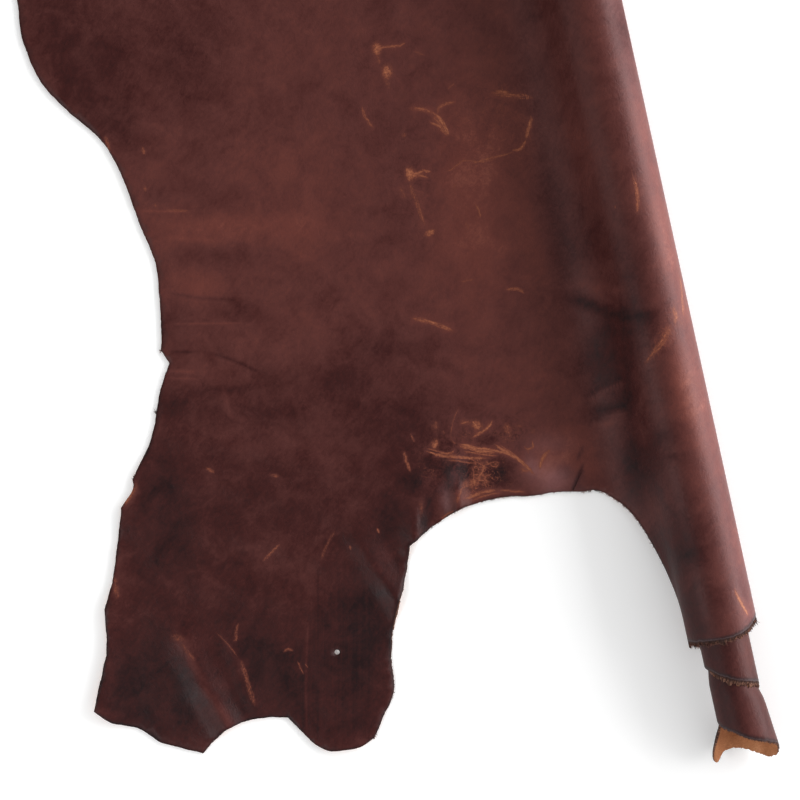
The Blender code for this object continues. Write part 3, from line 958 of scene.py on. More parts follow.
RUBBED = (
    # spots rubbed bare: pixel x, pixel y, half width, half height, lean, how much
    (130, 494, 4.0, 12.0, 32, 0.55),
    (178, 638, 7.0, 4.0, 20, 0.35),
    (377, 49, 4.5, 6.5, 0, 1.00),
    (387, 72, 5.0, 7.0, 5, 0.95),
    (388, 85, 3.0, 5.0, -20, 0.30),
    (410, 174, 4.5, 6.5, -10, 1.00),
    (417, 175, 7.0, 3.5, 0, 0.45),
    (430, 233, 5.5, 3.0, -25, 0.95),
    (421, 110, 11.0, 3.5, 5, 0.25),
    (439, 122, 11.0, 4.5, 52, 0.45),
    (404, 135, 3.0, 3.0, 0, 0.35),
    (477, 425, 5.5, 4.5, 35, 0.85),
    (465, 422, 6.0, 3.0, 0, 0.40),
    (435, 427, 4.0, 6.0, 0, 0.30),
    (435, 444, 3.5, 5.0, 20, 0.80),
    (507, 428, 4.5, 5.5, 0, 0.45),
    (519, 426, 6.0, 3.0, 0, 0.28),
    (533, 431, 3.0, 3.5, 0, 0.28),
    (482, 463, 12.0, 4.0, 5, 0.22),
    (480, 475, 5.0, 7.0, 10, 0.38),
    (473, 483, 4.0, 5.5, 30, 0.80),
    (486, 482, 4.5, 4.0, 0, 0.40),
    (464, 485, 3.5, 7.0, 20, 0.40),
    (496, 464, 4.0, 3.0, 0, 0.35),
    (524, 470, 5.5, 3.5, 15, 0.45),
    (421, 508, 2.5, 9.0, 0, 0.30),
)

PAINTED_SHEEN = (
    # painted sheen on the grain: pixel x, pixel y, half width, half height, lean, how much
    (553, 479, 19, 16, 10, 0.62),
    (531, 466, 9, 11, 0, 0.40),
    (548, 445, 26, 12, 0, 0.22),
    (446, 500, 4.5, 14, -10, 0.50),
    (454, 477, 4.0, 11, 0, 0.28),
)

BRUSHED = (345, 655, 52, 95, 0)  # the fore shank's grain is drawn into fine lines here
ROUGH_SHANK = (397, 615, 14, 42, 10)  # and its right edge is cut rough and pale here

SCUFF_HALO = 0.55             # how much a scuff warms the grain round it
FINE_BAND = 0.0035            # half width of a band that the mesh has to carry
FINE_ROOM = 0.0010            # how near to each other the points for marks may be
RUBBED_STEP = 1.8             # pixels between the mesh's points where it is rubbed bare
STROKE_STEP = 3.0             # pixels between the points of a stroke's path
STROKE_ROW = 0.0016           # metres between the mesh's points down a stroke
STROKE_CORE = 0.0006          # a stroke is full to this far past half its width,
STROKE_FRAY = 0.0012          # and gone this far past its width
STROKE_MARGIN = 0.0024        # how far past its width its place is still stored
SCUFF_LAYERS = 4              # so that strokes that cross keep their own course


class Stroke:
    """A mark drawn down a path on the plan: how wide and how strong it is, and where it runs."""

    def __init__(self, row):
        half_width, self.strength, *corners = row
        self.width = half_width * VIEW_SPAN / PICTURE
        self.reach = self.width + STROKE_MARGIN
        pixels = smooth_edge(corners, lambda _: STROKE_STEP)
        path = plan_under(pixels + [np.array(corners[-1], float)])
        steps = np.linalg.norm(np.diff(path, axis=0), axis=1)
        self.length = steps.sum()
        before = path[0] + (path[0] - path[1]) / steps[0] * self.reach
        after = path[-1] + (path[-1] - path[-2]) / steps[-1] * self.reach
        self.path = np.concatenate(([before], path, [after]))

    def beside(self, plan, reach):
        """The points in reach: their numbers, distance off, place down the path and to its side."""
        low, high = self.path.min(axis=0) - reach, self.path.max(axis=0) + reach
        near = np.flatnonzero(((plan > low) & (plan < high)).all(axis=1))
        off, down, side = np.full((3, len(near)), 2.0 * reach)
        passed = -self.reach
        for start, end in zip(self.path, self.path[1:]):
            gap, part = off_line(plan[near], *start, *end)
            run = end - start
            turned = run[0] * (plan[near, 1] - start[1]) - run[1] * (plan[near, 0] - start[0])
            nearer = gap < off
            off[nearer] = gap[nearer]
            down[nearer] = (passed + part * np.linalg.norm(run))[nearer]
            side[nearer] = (np.sign(turned) * gap)[nearer]
            passed += np.linalg.norm(run)
        return near, off, down, side

    def ends(self, down, run_out):
        """1 down the stroke's length, falling to 0 just past both ends."""
        before, after = down + 0.5 * self.width, self.length - down + 0.5 * self.width
        return eased(before, 0.0, run_out) * eased(after, 0.0, run_out)

    def points(self):
        """Points close round the stroke, so that the mesh can carry it."""
        run = np.concatenate(((0.0,), np.cumsum(np.linalg.norm(np.diff(self.path, axis=0), axis=1))))
        at = np.arange(0.0, run[-1], STROKE_ROW)
        middle = np.stack([np.interp(at, run, self.path[:, axis]) for axis in (0, 1)], axis=1)
        along = np.gradient(middle, axis=0)
        along /= np.linalg.norm(along, axis=1)[:, None]
        side = np.stack((-along[:, 1], along[:, 0]), axis=1)
        near, far = 0.5 * self.width + 0.0005, self.width + 0.0014
        return np.concatenate([middle + off * side for off in (-far, -near, 0.0, near, far)])


def scuff_layers(plan, strokes):
    """For each layer and point: its place down the stroke, beside it in widths, and its strength."""
    layers = np.zeros((SCUFF_LAYERS, len(plan), 3))
    for number, stroke in enumerate(strokes):
        near, off, down, side = stroke.beside(plan, stroke.reach)
        close = off < stroke.reach
        near, off, down, side = near[close], off[close], down[close], side[close]
        layer = layers[int(np.argmin([np.count_nonzero(layer[near, 0]) for layer in layers]))]
        free = layer[near, 0] == 0.0
        taper = 0.4 + 0.6 * stroke.ends(down, 0.3 * stroke.length + stroke.width)
        full, gone = 0.5 * stroke.width + STROKE_CORE, stroke.width + STROKE_FRAY
        fray = np.clip((gone - off) / (gone - full), 0.0, 1.0)
        strength = stroke.strength * stroke.ends(down, 0.15 * stroke.length + stroke.width) * fray
        mark = np.stack((down + 0.37 * (number + 1), side / (stroke.width * taper), strength), axis=1)
        layer[near[free]] = mark[free]
    return layers


def faded(off):
    """1 in the middle of a mark, falling off softly past its half width."""
    return np.exp(-1.2 * off ** 2)


def soft_ellipse(pixels, x, y, half_width, half_height, lean):
    """A patch in the picture, 1 in its middle and fading out round it."""
    cos, sin = math.cos(math.radians(lean)), math.sin(math.radians(lean))
    east, south = pixels[:, 0] - x, pixels[:, 1] - y
    return faded(np.hypot((east * cos + south * sin) / half_width,
                          (south * cos - east * sin) / half_height))


def tones(plan, bands, scuffs):
    """How dark and how warm the patches, bands and scuffs make each point, between 0 and 1; part of
    the darkness is painted shade, and part of the warmth painted light.
    """
    pixels = pixels_of(lay(plan))
    shown = (plan[:, 0] < plan_of_turn(SEEN_TURN)) & (plan[:, 1] < SEEN_ALONG + 0.10)
    turn = turn_of(plan[:, 0])
    # painted shade: the roll's inner turns are a little darker, and darker still on their left sides,
    # which face away from the light
    left_side = eased(-np.sin(np.radians(turn)), -0.45, 0.65)
    dark = (0.15 + 0.45 * left_side) * eased(turn, 225.0, 255.0)
    warm = np.zeros(len(plan))

    def add(where, tone, amount):
        layer = dark if amount > 0 else warm
        layer[where] = 1.0 - (1.0 - layer[where]) * (1.0 - abs(amount) * tone)

    for *ellipse, amount in PATCHES:
        add(shown, soft_ellipse(pixels[shown], *ellipse), amount)
    for band in bands:
        near, off, down, _ = band.beside(plan, 3 * band.width)
        tone = faded(off / band.width) * band.ends(down, 2.5 * band.width + 0.1 * band.length)
        add(near, tone, band.strength)
    for scuff in scuffs:
        spread = 1.3 * scuff.width + 0.0020
        near, off, down, _ = scuff.beside(plan, 2.5 * spread)
        tone = faded(off / spread) * scuff.ends(down, spread)
        add(near, tone, -SCUFF_HALO * scuff.strength)
    return dark, warm


def ellipses(plan, table):
    """How much the table's soft ellipses in the picture cover each point of the plan."""
    pixels = pixels_of(lay(plan))
    cover = [amount * soft_ellipse(pixels, *ellipse) for *ellipse, amount in table]
    return np.clip(np.sum(cover, axis=0), 0.0, 1.0) * (plan[:, 0] < plan_of_turn(SEEN_TURN))


def ellipse_points(table):
    """Points close together over the table's ellipses, so that the mesh can carry them."""
    made = []
    for x, y, half_width, half_height, lean, _ in table:
        offs = grid(RUBBED_STEP, (-1.9 * half_width, -1.9 * half_height),
                    (1.9 * half_width, 1.9 * half_height))
        cos, sin = math.cos(math.radians(lean)), math.sin(math.radians(lean))
        made.append(offs @ np.array(((cos, sin), (-sin, cos))) + (x, y))
    return plan_under(np.concatenate(made))


def inward_of(plan, edge):
    """How far each point of the plan is from the cut edge."""
    tree = tree_of(edge)
    return np.array([tree.find((across, along, 0.0))[2] for across, along in plan])


def pull_up_and_painted_light(plan):
    """How much paler the outer turn's grain is: partly the wax that the bend has drawn out, partly
    painted light on the roll's lit right side.
    """
    turn = turn_of(plan[:, 0])
    return eased(turn, 2, 52) * (1.0 - eased(turn, 190, 230))


# ---------------------------------------------------------------- the hide's mesh

GRAIN, FLESH, CUT = 0, 1, 2
RIM = (
    # how far down the cut, share of the bevel, how pale
    (0.20, 0.25, 0.15),
    (0.55, 0.75, 0.85),
)

RIM_WIDTHS = (
    # turn, how far the torn flesh shows past the grain
    (-120, 0.0046),
    (205, 0.0046),
    (240, 0.0012),
    (285, 0.0012),
    (305, 0.0058),
    (520, 0.0058),
    (560, 0.0012),
    (980, 0.0012),
)
rim_width = along_curve(RIM_WIDTHS, 1)
KNIFE_RIM = 0.0004            # the same where a knife cut the edge clean
SHANK_RIM = 0.0012            # and how much more where it is rough


def torn(plan):
    """Where the edge is the torn neck end of the roll."""
    return eased(plan[:, 0], TORN_FROM, TORN_TO) * (plan[:, 1] < 0.0)


def pale_edge(plan):
    """How pale the cut is: tan at the torn neck end and up the fore shank's right edge."""
    shank = soft_ellipse(pixels_of(lay(plan)), *ROUGH_SHANK)
    inner = eased(turn_of(plan[:, 0]), 240, 270)
    return np.clip(torn(plan) * (0.48 + 0.52 * inner) + shank, 0.0, 1.0)


def bevel_of(plan):
    """How far the flesh shows past the grain at the cut edge."""
    rough = [0.85 + 0.45 * noise.noise((across * 300, along * 300, 3.0))
             + 0.70 * noise.noise((across * 800, along * 800, 7.0)) for across, along in plan]
    shank = SHANK_RIM * soft_ellipse(pixels_of(lay(plan)), *ROUGH_SHANK)
    bevel = rim_width(turn_of(plan[:, 0])) * torn(plan) + shank + KNIFE_RIM
    return bevel * np.clip(rough, 0.25, 1.5)


def ring_outward(points, normals):
    """Direction out of the sheet's edge along a closed ring."""
    tangent = np.roll(points, -1, axis=0) - np.roll(points, 1, axis=0)
    tangent /= np.linalg.norm(tangent, axis=1)[:, None]
    out = np.cross(tangent, normals)
    return out / np.linalg.norm(out, axis=1)[:, None]


def ring_faces(upper, lower):
    """Four-sided faces between two rings of point numbers that run anticlockwise."""
    after_upper, after_lower = np.roll(upper, -1), np.roll(lower, -1)
    return np.stack((upper, lower, after_lower, after_upper), axis=1)


def make_hide(edge):
    """The closed sheet: a grain and a flesh face, and the cut edge and the hole's wall between."""
    scuffs, bands = [Stroke(row) for row in SCUFFS], [Stroke(row) for row in BANDS]
    fine = scuffs + [band for band in bands if band.width < FINE_BAND]
    finely = [stroke.points() for stroke in fine] + [ellipse_points(RUBBED)]
    finely = thinned(np.concatenate(finely), FINE_ROOM)
    grain_plan, grain_faces, grain_ring, grain_hole = triangles_of(edge, finely, False)
    flesh_plan, flesh_faces, flesh_ring, flesh_hole = triangles_of(edge, np.empty((0, 2)), True)

    grain_out, flesh_out = face_out(grain_plan), face_out(flesh_plan)
    grain = lay(grain_plan) + grain_out * THICKNESS / 2
    flesh = lay(flesh_plan) - flesh_out * THICKNESS / 2
    normals = grain_out[grain_ring]
    outward = ring_outward(lay(grain_plan[grain_ring]), normals)
    bevel = bevel_of(grain_plan[grain_ring])[:, None]
    flesh[flesh_ring] += outward * bevel
    pale_ring = pale_edge(edge)
    pale = [np.zeros(len(grain)), np.ones(len(flesh))]
    pale[1][flesh_ring] = pale_ring

    points, rings = [grain, flesh], [grain_ring]
    for down, share, paleness in RIM:
        jag = [1.0 + 0.35 * noise.noise((x * 1300, y * 1300, down * 50)) for x, y in edge]
        reach = outward * bevel * share * np.array(jag)[:, None]
        rings.append(sum(map(len, points)) + np.arange(len(edge)))
        points.append(grain[grain_ring] - normals * THICKNESS * down + reach)
        pale.append(pale_ring * paleness)
    rings.append(len(grain) + flesh_ring)
    parts = [(GRAIN, grain_faces), (FLESH, flesh_faces[:, ::-1] + len(grain))]
    parts += [(CUT, ring_faces(upper, lower)) for upper, lower in zip(rings, rings[1:])]
    parts.append((CUT, ring_faces(grain_hole[::-1], len(grain) + flesh_hole[::-1])))

    faces = [face for _, made in parts for face in made.tolist()]
    hide = add_mesh("hide", np.concatenate(points), faces, grain_leather(), flesh_suede(), cut_edge())
    hide.data.polygons.foreach_set("material_index", [kind for kind, made in parts for _ in made])
    hide.data.shade_smooth()
    plan = np.concatenate([grain_plan, flesh_plan] + [edge] * len(RIM))
    put(hide.data, "plan", "FLOAT_VECTOR", np.pad(plan, ((0, 0), (0, 1))))
    put(hide.data, "pale", "FLOAT", np.concatenate(pale))
    put_marks(hide.data, plan, edge, scuffs, bands)
    return hide


def put_marks(mesh, plan, edge, scuffs, bands):
    """Stores where the grain is marked and where light and shade are painted on it, and how much, for
    its material to read.
    """
    for number, layer in enumerate(scuff_layers(plan, scuffs)):
        put(mesh, f"scuffs_{number}", "FLOAT_VECTOR", layer)
    dark, warm = tones(plan, bands, scuffs)
    for name, values in (
            ("dark", dark),
            ("warm", warm),
            ("matt", dark * (0.25 + 0.75 * eased(plan[:, 0], 0.12, 0.16))),
            ("lift", pull_up_and_painted_light(plan)),
            ("brushed", soft_ellipse(pixels_of(lay(plan)), *BRUSHED)),
            ("scratched", ellipses(plan, SCRATCHED)),
            ("rubbed", ellipses(plan, RUBBED)),
            ("painted_sheen", ellipses(plan, PAINTED_SHEEN)),
            ("inward", inward_of(plan, edge)),
            ("torn", torn(plan))):
        put(mesh, name, "FLOAT", values)


def put(mesh, name, kind, values):
    """Stores a value for each point of the mesh."""
    layer = mesh.attributes.new(name, kind, "POINT")
    layer.data.foreach_set("vector" if kind == "FLOAT_VECTOR" else "value", values.ravel())


def add_object(name, data):
    """An object of the given mesh, light or camera, in the scene."""
    made = bpy.data.objects.new(name, data)
    bpy.context.scene.collection.objects.link(made)
    return made


def add_mesh(name, points, faces, *materials):
    mesh = bpy.data.meshes.new(name)
    mesh.from_pydata(points.tolist(), [], faces)
    for material in materials:
        mesh.materials.append(material)
    return add_object(name, mesh)


# ---------------------------------------------------------------- loose fibres

FRAYS = (
    # down the torn neck end: turn, to turn, strands a metre, shortest, longest
    (-112, 215, 3400, 0.0012, 0.0042),
    (300, 520, 2600, 0.0006, 0.0020),
    (640, 900, 1500, 0.0004, 0.0014),
)

TUFTS = (
    # in one place: pixel x, pixel y, spread along the edge, strands, shortest, longest
    (757, 620, 0.005, 34, 0.0035, 0.0085),
    (695, 645, 0.006, 34, 0.0030, 0.0075),
    (704, 645, 0.008, 30, 0.0025, 0.0050),
    (592, 490, 0.012, 50, 0.0010, 0.0034),
    (628, 512, 0.030, 130, 0.0006, 0.0028),
    (650, 540, 0.030, 130, 0.0006, 0.0028),
    (668, 585, 0.040, 110, 0.0005, 0.0022),
    (530, 494, 0.050, 110, 0.0006, 0.0024),
    (470, 505, 0.050, 100, 0.0006, 0.0026),
    (405, 575, 0.030, 40, 0.0004, 0.0012),
    (397, 615, 0.030, 70, 0.0004, 0.0014),
    (391, 660, 0.030, 40, 0.0004, 0.0014),
    (377, 738, 0.003, 8, 0.0010, 0.0025),
    (392, 697, 0.003, 8, 0.0010, 0.0025),
    (152, 411, 0.001, 10, 0.0015, 0.0040),
    (161, 350, 0.001, 9, 0.0012, 0.0032),
    (138, 478, 0.004, 14, 0.0006, 0.0020),
    (716, 757, 0.004, 16, 0.0010, 0.0026),
    (779, 746, 0.008, 24, 0.0006, 0.0018),
)

STRAND_RADIUS = (0.00020, 0.00040)
STRAND_PLACE = (-0.80, 0.60)  # where in the thickness it starts, from -1 to 1
STRAND_STRAY = 0.6            # how far it leans to its sides, and then curls
STRAND_CURL = 0.4
STRAND_RISE = (-0.50, 0.35)   # how far it leans down or up, and then sags
STRAND_SAG = (-0.40, 0.30)
STRAND_CLEARANCE = 0.0004     # how far above the floor its tip stays
HIDDEN_EDGE = (130, 640)      # turns between which the neck end's edge doesn't show


def strand(base, way, bend, length, radius):
    """Points of one tapering three-sided strand: three rings of three, then the tip."""
    side = np.cross(way, bend)
    side /= np.linalg.norm(side) + 1e-9
    other = np.cross(way, side)
    points = []
    for part in (0.0, 0.33, 0.66):
        middle = base + length * (way * part + bend * part * part)
        for spoke in range(3):
            angle = 2.0 * math.pi * spoke / 3
            reach = radius * (1.0 - 0.6 * part)
            points.append(middle + reach * (math.cos(angle) * side + math.sin(angle) * other))
    return points + [base + length * (way + bend)]


def strand_faces(first):
    """Faces of a strand whose first point has the given number."""
    faces = [(first + 2, first + 1, first)]
    for ring in (first, first + 3):
        for spoke in range(3):
            after = (spoke + 1) % 3
            faces.append((ring + spoke, ring + after, ring + 3 + after, ring + 3 + spoke))
    return faces + [(first + 6 + spoke, first + 6 + (spoke + 1) % 3, first + 9) for spoke in range(3)]


def make_fibres(edge):
    """Loose fibres that stand out of the torn and the roughly cut edges."""
    draw = np.random.default_rng(31)
    middle, normals = lay(edge), face_out(edge)
    outward = ring_outward(middle, normals)
    tangents = np.cross(normals, outward)
    turns = turn_of(edge[:, 0])
    shown = pixels_of(middle)
    run = np.linalg.norm(np.roll(middle, -1, axis=0) - middle, axis=1)
    jobs = []
    for start, end, rate, shortest, longest in FRAYS:
        for index in np.flatnonzero((turns > start) & (turns < end) & (edge[:, 1] < NECK_ALONG)):
            jobs += [(index, shortest, longest)] * draw.poisson(rate * run[index])
    for x, y, spread, count, shortest, longest in TUFTS:
        seen = (turns < HIDDEN_EDGE[0]) | (turns > HIDDEN_EDGE[1])
        off = np.where(seen, np.linalg.norm(shown - (x, y), axis=1), 1e9)
        nearest = np.argmin(off)
        near = np.flatnonzero(np.linalg.norm(middle - middle[nearest], axis=1) < spread)
        jobs += [(draw.choice(near), shortest, longest) for _ in range(count)]

    points, faces = [], []
    for index, shortest, longest in jobs:
        after = (index + 1) % len(edge)
        base = middle[index] + draw.random() * (middle[after] - middle[index])
        base = base + normals[index] * draw.uniform(*STRAND_PLACE) * THICKNESS / 2
        reach = 0.6 * float(bevel_of(edge[index:index + 1])[0])
        base = base + outward[index] * (draw.uniform(-0.0003, 0.0) + reach)
        way = outward[index] + tangents[index] * draw.normal(0.0, STRAND_STRAY)
        way = way + normals[index] * draw.uniform(*STRAND_RISE)
        way /= np.linalg.norm(way)
        bend = tangents[index] * draw.normal(0.0, STRAND_CURL)
        bend += normals[index] * draw.uniform(*STRAND_SAG)
        length = draw.uniform(shortest, longest)
        tip = base + length * (way + bend)
        bend[2] += max(0.0, STRAND_CLEARANCE - tip[2]) / length
        faces += strand_faces(len(points))
        points += strand(base, way, bend, length, draw.uniform(*STRAND_RADIUS))
    points = np.array(points)
    points[:, 2] = np.maximum(points[:, 2], 0.00005)
    return add_mesh("cut_fibres", points, faces, loose_fibre())


# ---------------------------------------------------------------- materials

WHITE = (1.0, 1.0, 1.0, 1.0)


class Nodes:
    """Short names for the nodes that the materials and the world use."""

    def __init__(self, owner):
        owner.use_nodes = True
        self.owner = owner
        self.tree = owner.node_tree

    def node(self, kind, **settings):
        made = self.tree.nodes.new("ShaderNode" + kind)
        for key, value in settings.items():
            setattr(made, key, value)
        return made

    def feed(self, node, inputs):
        """Joins or sets a node's inputs, by their names or numbers, and gives its outputs."""
        for key, value in inputs.items():
            if isinstance(value, bpy.types.NodeSocket):
                self.tree.links.new(value, node.inputs[key])
            else:
                node.inputs[key].default_value = value
        return node.outputs

    def attribute(self, name, output="Fac"):
        return self.node("Attribute", attribute_name=name).outputs[output]

    def math(self, operation, first, second=0.0, clamp=False):
        made = self.node("Math", operation=operation, use_clamp=clamp)
        return self.feed(made, {0: first, 1: second})[0]

    def add(self, first, *others):
        for other in others:
            first = self.math("ADD", first, other)
        return first

    def times(self, first, second, clamp=False):
        return self.math("MULTIPLY", first, second, clamp)

    def split(self, vector):
        return self.feed(self.node("SeparateXYZ"), {0: vector})

    def joined(self, x, y):
        return self.feed(self.node("CombineXYZ"), {0: x, 1: y})[0]

    def turned(self, vector, angle):
        made = self.node("VectorRotate", rotation_type="Z_AXIS")
        return self.feed(made, {"Vector": vector, "Angle": angle})[0]

    def scaled(self, vector, scale):
        return self.feed(self.node("VectorMath", operation="MULTIPLY"), {0: vector, 1: scale})[0]

    def noise(self, vector, scale, detail=2.0, roughness=0.5, distortion=0.0):
        return self.feed(self.node("TexNoise"), {
            "Vector": vector, "Scale": scale, "Detail": detail, "Roughness": roughness,
            "Distortion": distortion})["Fac"]

    def cells(self, vector, scale):
        made = self.node("TexVoronoi", feature="F1")
        return self.feed(made, {"Vector": vector, "Scale": scale})["Distance"]

    def spread(self, value, low, high, to_low=0.0, to_high=1.0, way="LINEAR"):
        made = self.node("MapRange", clamp=True, interpolation_type=way)
        return self.feed(made, {"Value": value, "From Min": low, "From Max": high,
                                "To Min": to_low, "To Max": to_high})["Result"]

    def ramp(self, value, stops):
        made = self.node("ValToRGB")
        elements = made.color_ramp.elements
        while len(elements) < len(stops):
            elements.new(1.0)
        for element, (place, colour) in zip(elements, stops):
            element.position = place
            element.color = (*colour, 1.0)
        return self.feed(made, {"Fac": value})["Color"]

    def blend(self, share, first, second, way="MIX"):
        first, second = (value if isinstance(value, bpy.types.NodeSocket) else (*value, 1.0)
                         for value in (first, second))
        made = self.node("Mix", data_type="RGBA", blend_type=way)
        return self.feed(made, {"Factor": share, "A": first, "B": second})["Result"]

    def bump(self, height, distance, strength):
        return self.feed(self.node("Bump"), {
            "Height": height, "Distance": distance, "Strength": strength})["Normal"]

    def shade(self, inputs):
        """Gives the material, with its shader's inputs joined or set."""
        self.feed(self.tree.nodes["Principled BSDF"], inputs)
        return self.owner


PULL_UP_AND_PAINTED_LIGHT = (1.66, 2.15, 2.45)  # how much paler the grain is where the bend draws its wax out, and where light is painted on the roll's lit right side
# the pale mauve of the painted sheen
PAINTED_SHEEN_COLOUR = (0.225, 0.102, 0.104)
SEAM_COLOUR = (0.016, 0.008, 0.009)  # shadow between the grain and the torn flesh
LIP_HIGHLIGHT_COLOUR = (0.082, 0.054, 0.056)  # painted highlight on the grain's rolled edge there


def scuff_wear(n, layer):
    """How far one layer's strokes have worn the grain: a ragged core drawn into strands."""
    down, side, strength = n.split(n.attribute(f"scuffs_{layer}", "Vector"))
    waver = n.noise(n.joined(n.times(down, 260.0), layer), 1.0, 2.0, 0.6)
    off = n.math("ABSOLUTE", n.add(side, n.spread(waver, 0.3, 0.7, -0.45, 0.45)))
    strands = n.noise(n.joined(n.times(down, 110.0), n.times(side, 3.6)), 1.0, 4.0, 0.65, 0.6)
    core = n.times(n.spread(off, 1.70, 0.10), n.spread(strands, 0.36, 0.60, 0.12, 1.45))
    return n.times(core, strength)


def grain_leather():
    """Waxed, pulled-up grain: dark in the pressed patches and in painted shade, warm where it is
    stretched, paler with painted light round the roll, and with a painted sheen in places.
    """
    n = Nodes(bpy.data.materials.new("grain leather"))
    plan = n.attribute("plan", "Vector")
    dark, warm = n.attribute("dark"), n.attribute("warm")
    broad = n.noise(plan, 7.0, 3.0, 0.55, 0.4)
    mottle = n.noise(plan, 34.0, 4.0, 0.6, 0.6)
    flecks = n.noise(plan, 170.0, 3.0, 0.65, 1.4)
    slant = n.turned(plan, math.radians(-42))
    ripples = n.noise(n.scaled(slant, (0.42, 1.0, 1.0)), 230.0, 2.0, 0.55, 0.8)
    upright = n.scaled(n.turned(plan, ROLL_LEAN), (330.0, 6.0, 1.0))
    lines = n.noise(upright, 1.0, 3.0, 0.7)

    crowd, inward, torn_end = n.attribute("scratched"), n.attribute("inward"), n.attribute("torn")
    tone = n.add(
        n.spread(broad, 0.25, 0.75, -0.07, 0.07),
        n.spread(mottle, 0.25, 0.75, -0.12, 0.12),
        n.spread(flecks, 0.25, 0.75, -0.07, 0.07),
        n.times(crowd, n.spread(flecks, 0.35, 0.65, -0.20, 0.10)),
        n.spread(ripples, 0.25, 0.75, -0.045, 0.045),
        n.times(n.attribute("brushed"), n.spread(lines, 0.3, 0.7, -0.08, 0.05)),
        0.50,
        n.times(dark, -0.50),
        n.times(warm, 0.40),
        n.spread(inward, 0.0006, 0.0030, -0.16, 0.0),
    )
    colour = n.ramp(tone, (
        (0.00, (0.0090, 0.0016, 0.0020)),
        (0.25, (0.0390, 0.0064, 0.0054)),
        (0.50, (0.0810, 0.0208, 0.0172)),
        (0.75, (0.1230, 0.0310, 0.0228)),
        (1.00, (0.2150, 0.0630, 0.0420)),
    ))
    # painted sheen: pale mauve where the arch's ridges and the grain by its slit catch the light
    painted_sheen = n.times(n.attribute("painted_sheen"), n.spread(flecks, 0.25, 0.75, 0.75, 1.15))
    colour = n.blend(painted_sheen, colour, PAINTED_SHEEN_COLOUR)

    worn = scuff_wear(n, 0)
    for layer in range(1, SCUFF_LAYERS):
        worn = n.math("MAXIMUM", worn, scuff_wear(n, layer))
    for scale, stretch in ((70.0, (1.0, 1.8, 1.0)), (105.0, (1.7, 1.0, 1.0))):
        curls = n.noise(n.scaled(slant, stretch), scale, 1.0, 0.5, 1.2)
        hair = n.spread(n.math("ABSOLUTE", n.add(curls, -0.5)), 0.020, 0.004)
        hair = n.times(n.times(hair, crowd), n.spread(mottle, 0.44, 0.58, 0.10, 0.85))
        worn = n.math("MAXIMUM", worn, hair)
    wear = n.noise(plan, 420.0, 3.0, 0.65)
    bare = n.times(n.attribute("rubbed"), n.spread(wear, 0.38, 0.62, 0.65, 1.05))
    worn = n.math("MAXIMUM", worn, bare)
    worn = n.times(worn, n.spread(wear, 0.35, 0.60, 0.55, 1.15), clamp=True)
    scuffed = n.ramp(worn, (
        (0.0, (0.105, 0.026, 0.016)),
        (0.5, (0.200, 0.056, 0.029)),
        (1.0, (0.330, 0.110, 0.053)),
    ))
    colour = n.blend(n.spread(worn, 0.04, 0.45), colour, scuffed)
    # paler where the bend draws the wax out, and painted light on the roll's lit right side
    colour = n.blend(n.attribute("lift"), colour, PULL_UP_AND_PAINTED_LIGHT, "MULTIPLY")

    ragged = n.spread(n.noise(plan, 600.0, 3.0, 0.7), 0.3, 0.7, -0.0010, 0.0010)
    frayed = n.add(inward, ragged)
    seam = n.times(torn_end, n.spread(frayed, 0.0042, 0.0012, 0.0, 0.8))
    colour = n.blend(seam, colour, SEAM_COLOUR)
    # painted highlight along the grain's lip at the torn end
    lip = n.times(torn_end, n.spread(frayed, 0.0016, 0.0004, 0.0, 0.6))
    colour = n.blend(lip, colour, LIP_HIGHLIGHT_COLOUR)

    rough = n.spread(mottle, 0.3, 0.7, 0.40, 0.52)
    rough = n.add(rough, n.times(worn, 0.22), n.times(n.attribute("matt"), 0.20))
    wrinkles = n.noise(n.scaled(plan, (1.0, 0.55, 1.0)), 150.0, 3.0, 0.6, 1.8)
    pebbles = n.cells(plan, 900.0)
    height = n.add(wrinkles, n.times(pebbles, 0.12), n.times(ripples, 0.4), n.times(worn, 0.15))
    return n.shade({
        "Base Color": colour,
        "Roughness": rough,
        "Specular IOR Level": 0.25,
        "Specular Tint": (1.0, 0.84, 0.85, 1.0),
        "Normal": n.bump(height, 0.0009, 0.40),
    })


def flesh_suede():
    """The tan, napped flesh side."""
    n = Nodes(bpy.data.materials.new("flesh suede"))
    plan = n.attribute("plan", "Vector")
    nap = n.noise(plan, 700.0, 4.0, 0.7, 0.5)
    cloud = n.noise(plan, 45.0, 4.0, 0.6, 0.5)
    tone = n.add(n.times(nap, 0.5), n.times(cloud, 0.5))
    colour = n.ramp(tone, (
        (0.30, (0.240, 0.090, 0.036)),
        (0.50, (0.410, 0.165, 0.073)),
        (0.70, (0.560, 0.260, 0.130)),
    ))
    return n.shade({"Base Color": colour, "Roughness": 0.95, "Specular IOR Level": 0.2,
                    "Normal": n.bump(nap, 0.0008, 0.8)})


def cut_edge():
    """The fibres in the leather's thickness: dark where dyed through, tan where torn."""
    n = Nodes(bpy.data.materials.new("cut edge"))
    plan = n.attribute("plan", "Vector")
    fibres = n.noise(plan, 1100.0, 3.0, 0.75, 0.3)
    tan = n.ramp(fibres, (
        (0.36, (0.020, 0.008, 0.007)),
        (0.50, (0.105, 0.046, 0.031)),
        (0.64, (0.330, 0.165, 0.110)),
    ))
    dyed = n.ramp(fibres, (
        (0.35, (0.018, 0.009, 0.008)),
        (0.70, (0.060, 0.024, 0.018)),
    ))
    colour = n.blend(n.spread(n.attribute("pale"), 0.1, 0.6), dyed, tan)
    return n.shade({"Base Color": colour, "Roughness": 0.9, "Specular IOR Level": 0.2,
                    "Normal": n.bump(fibres, 0.0008, 1.0)})


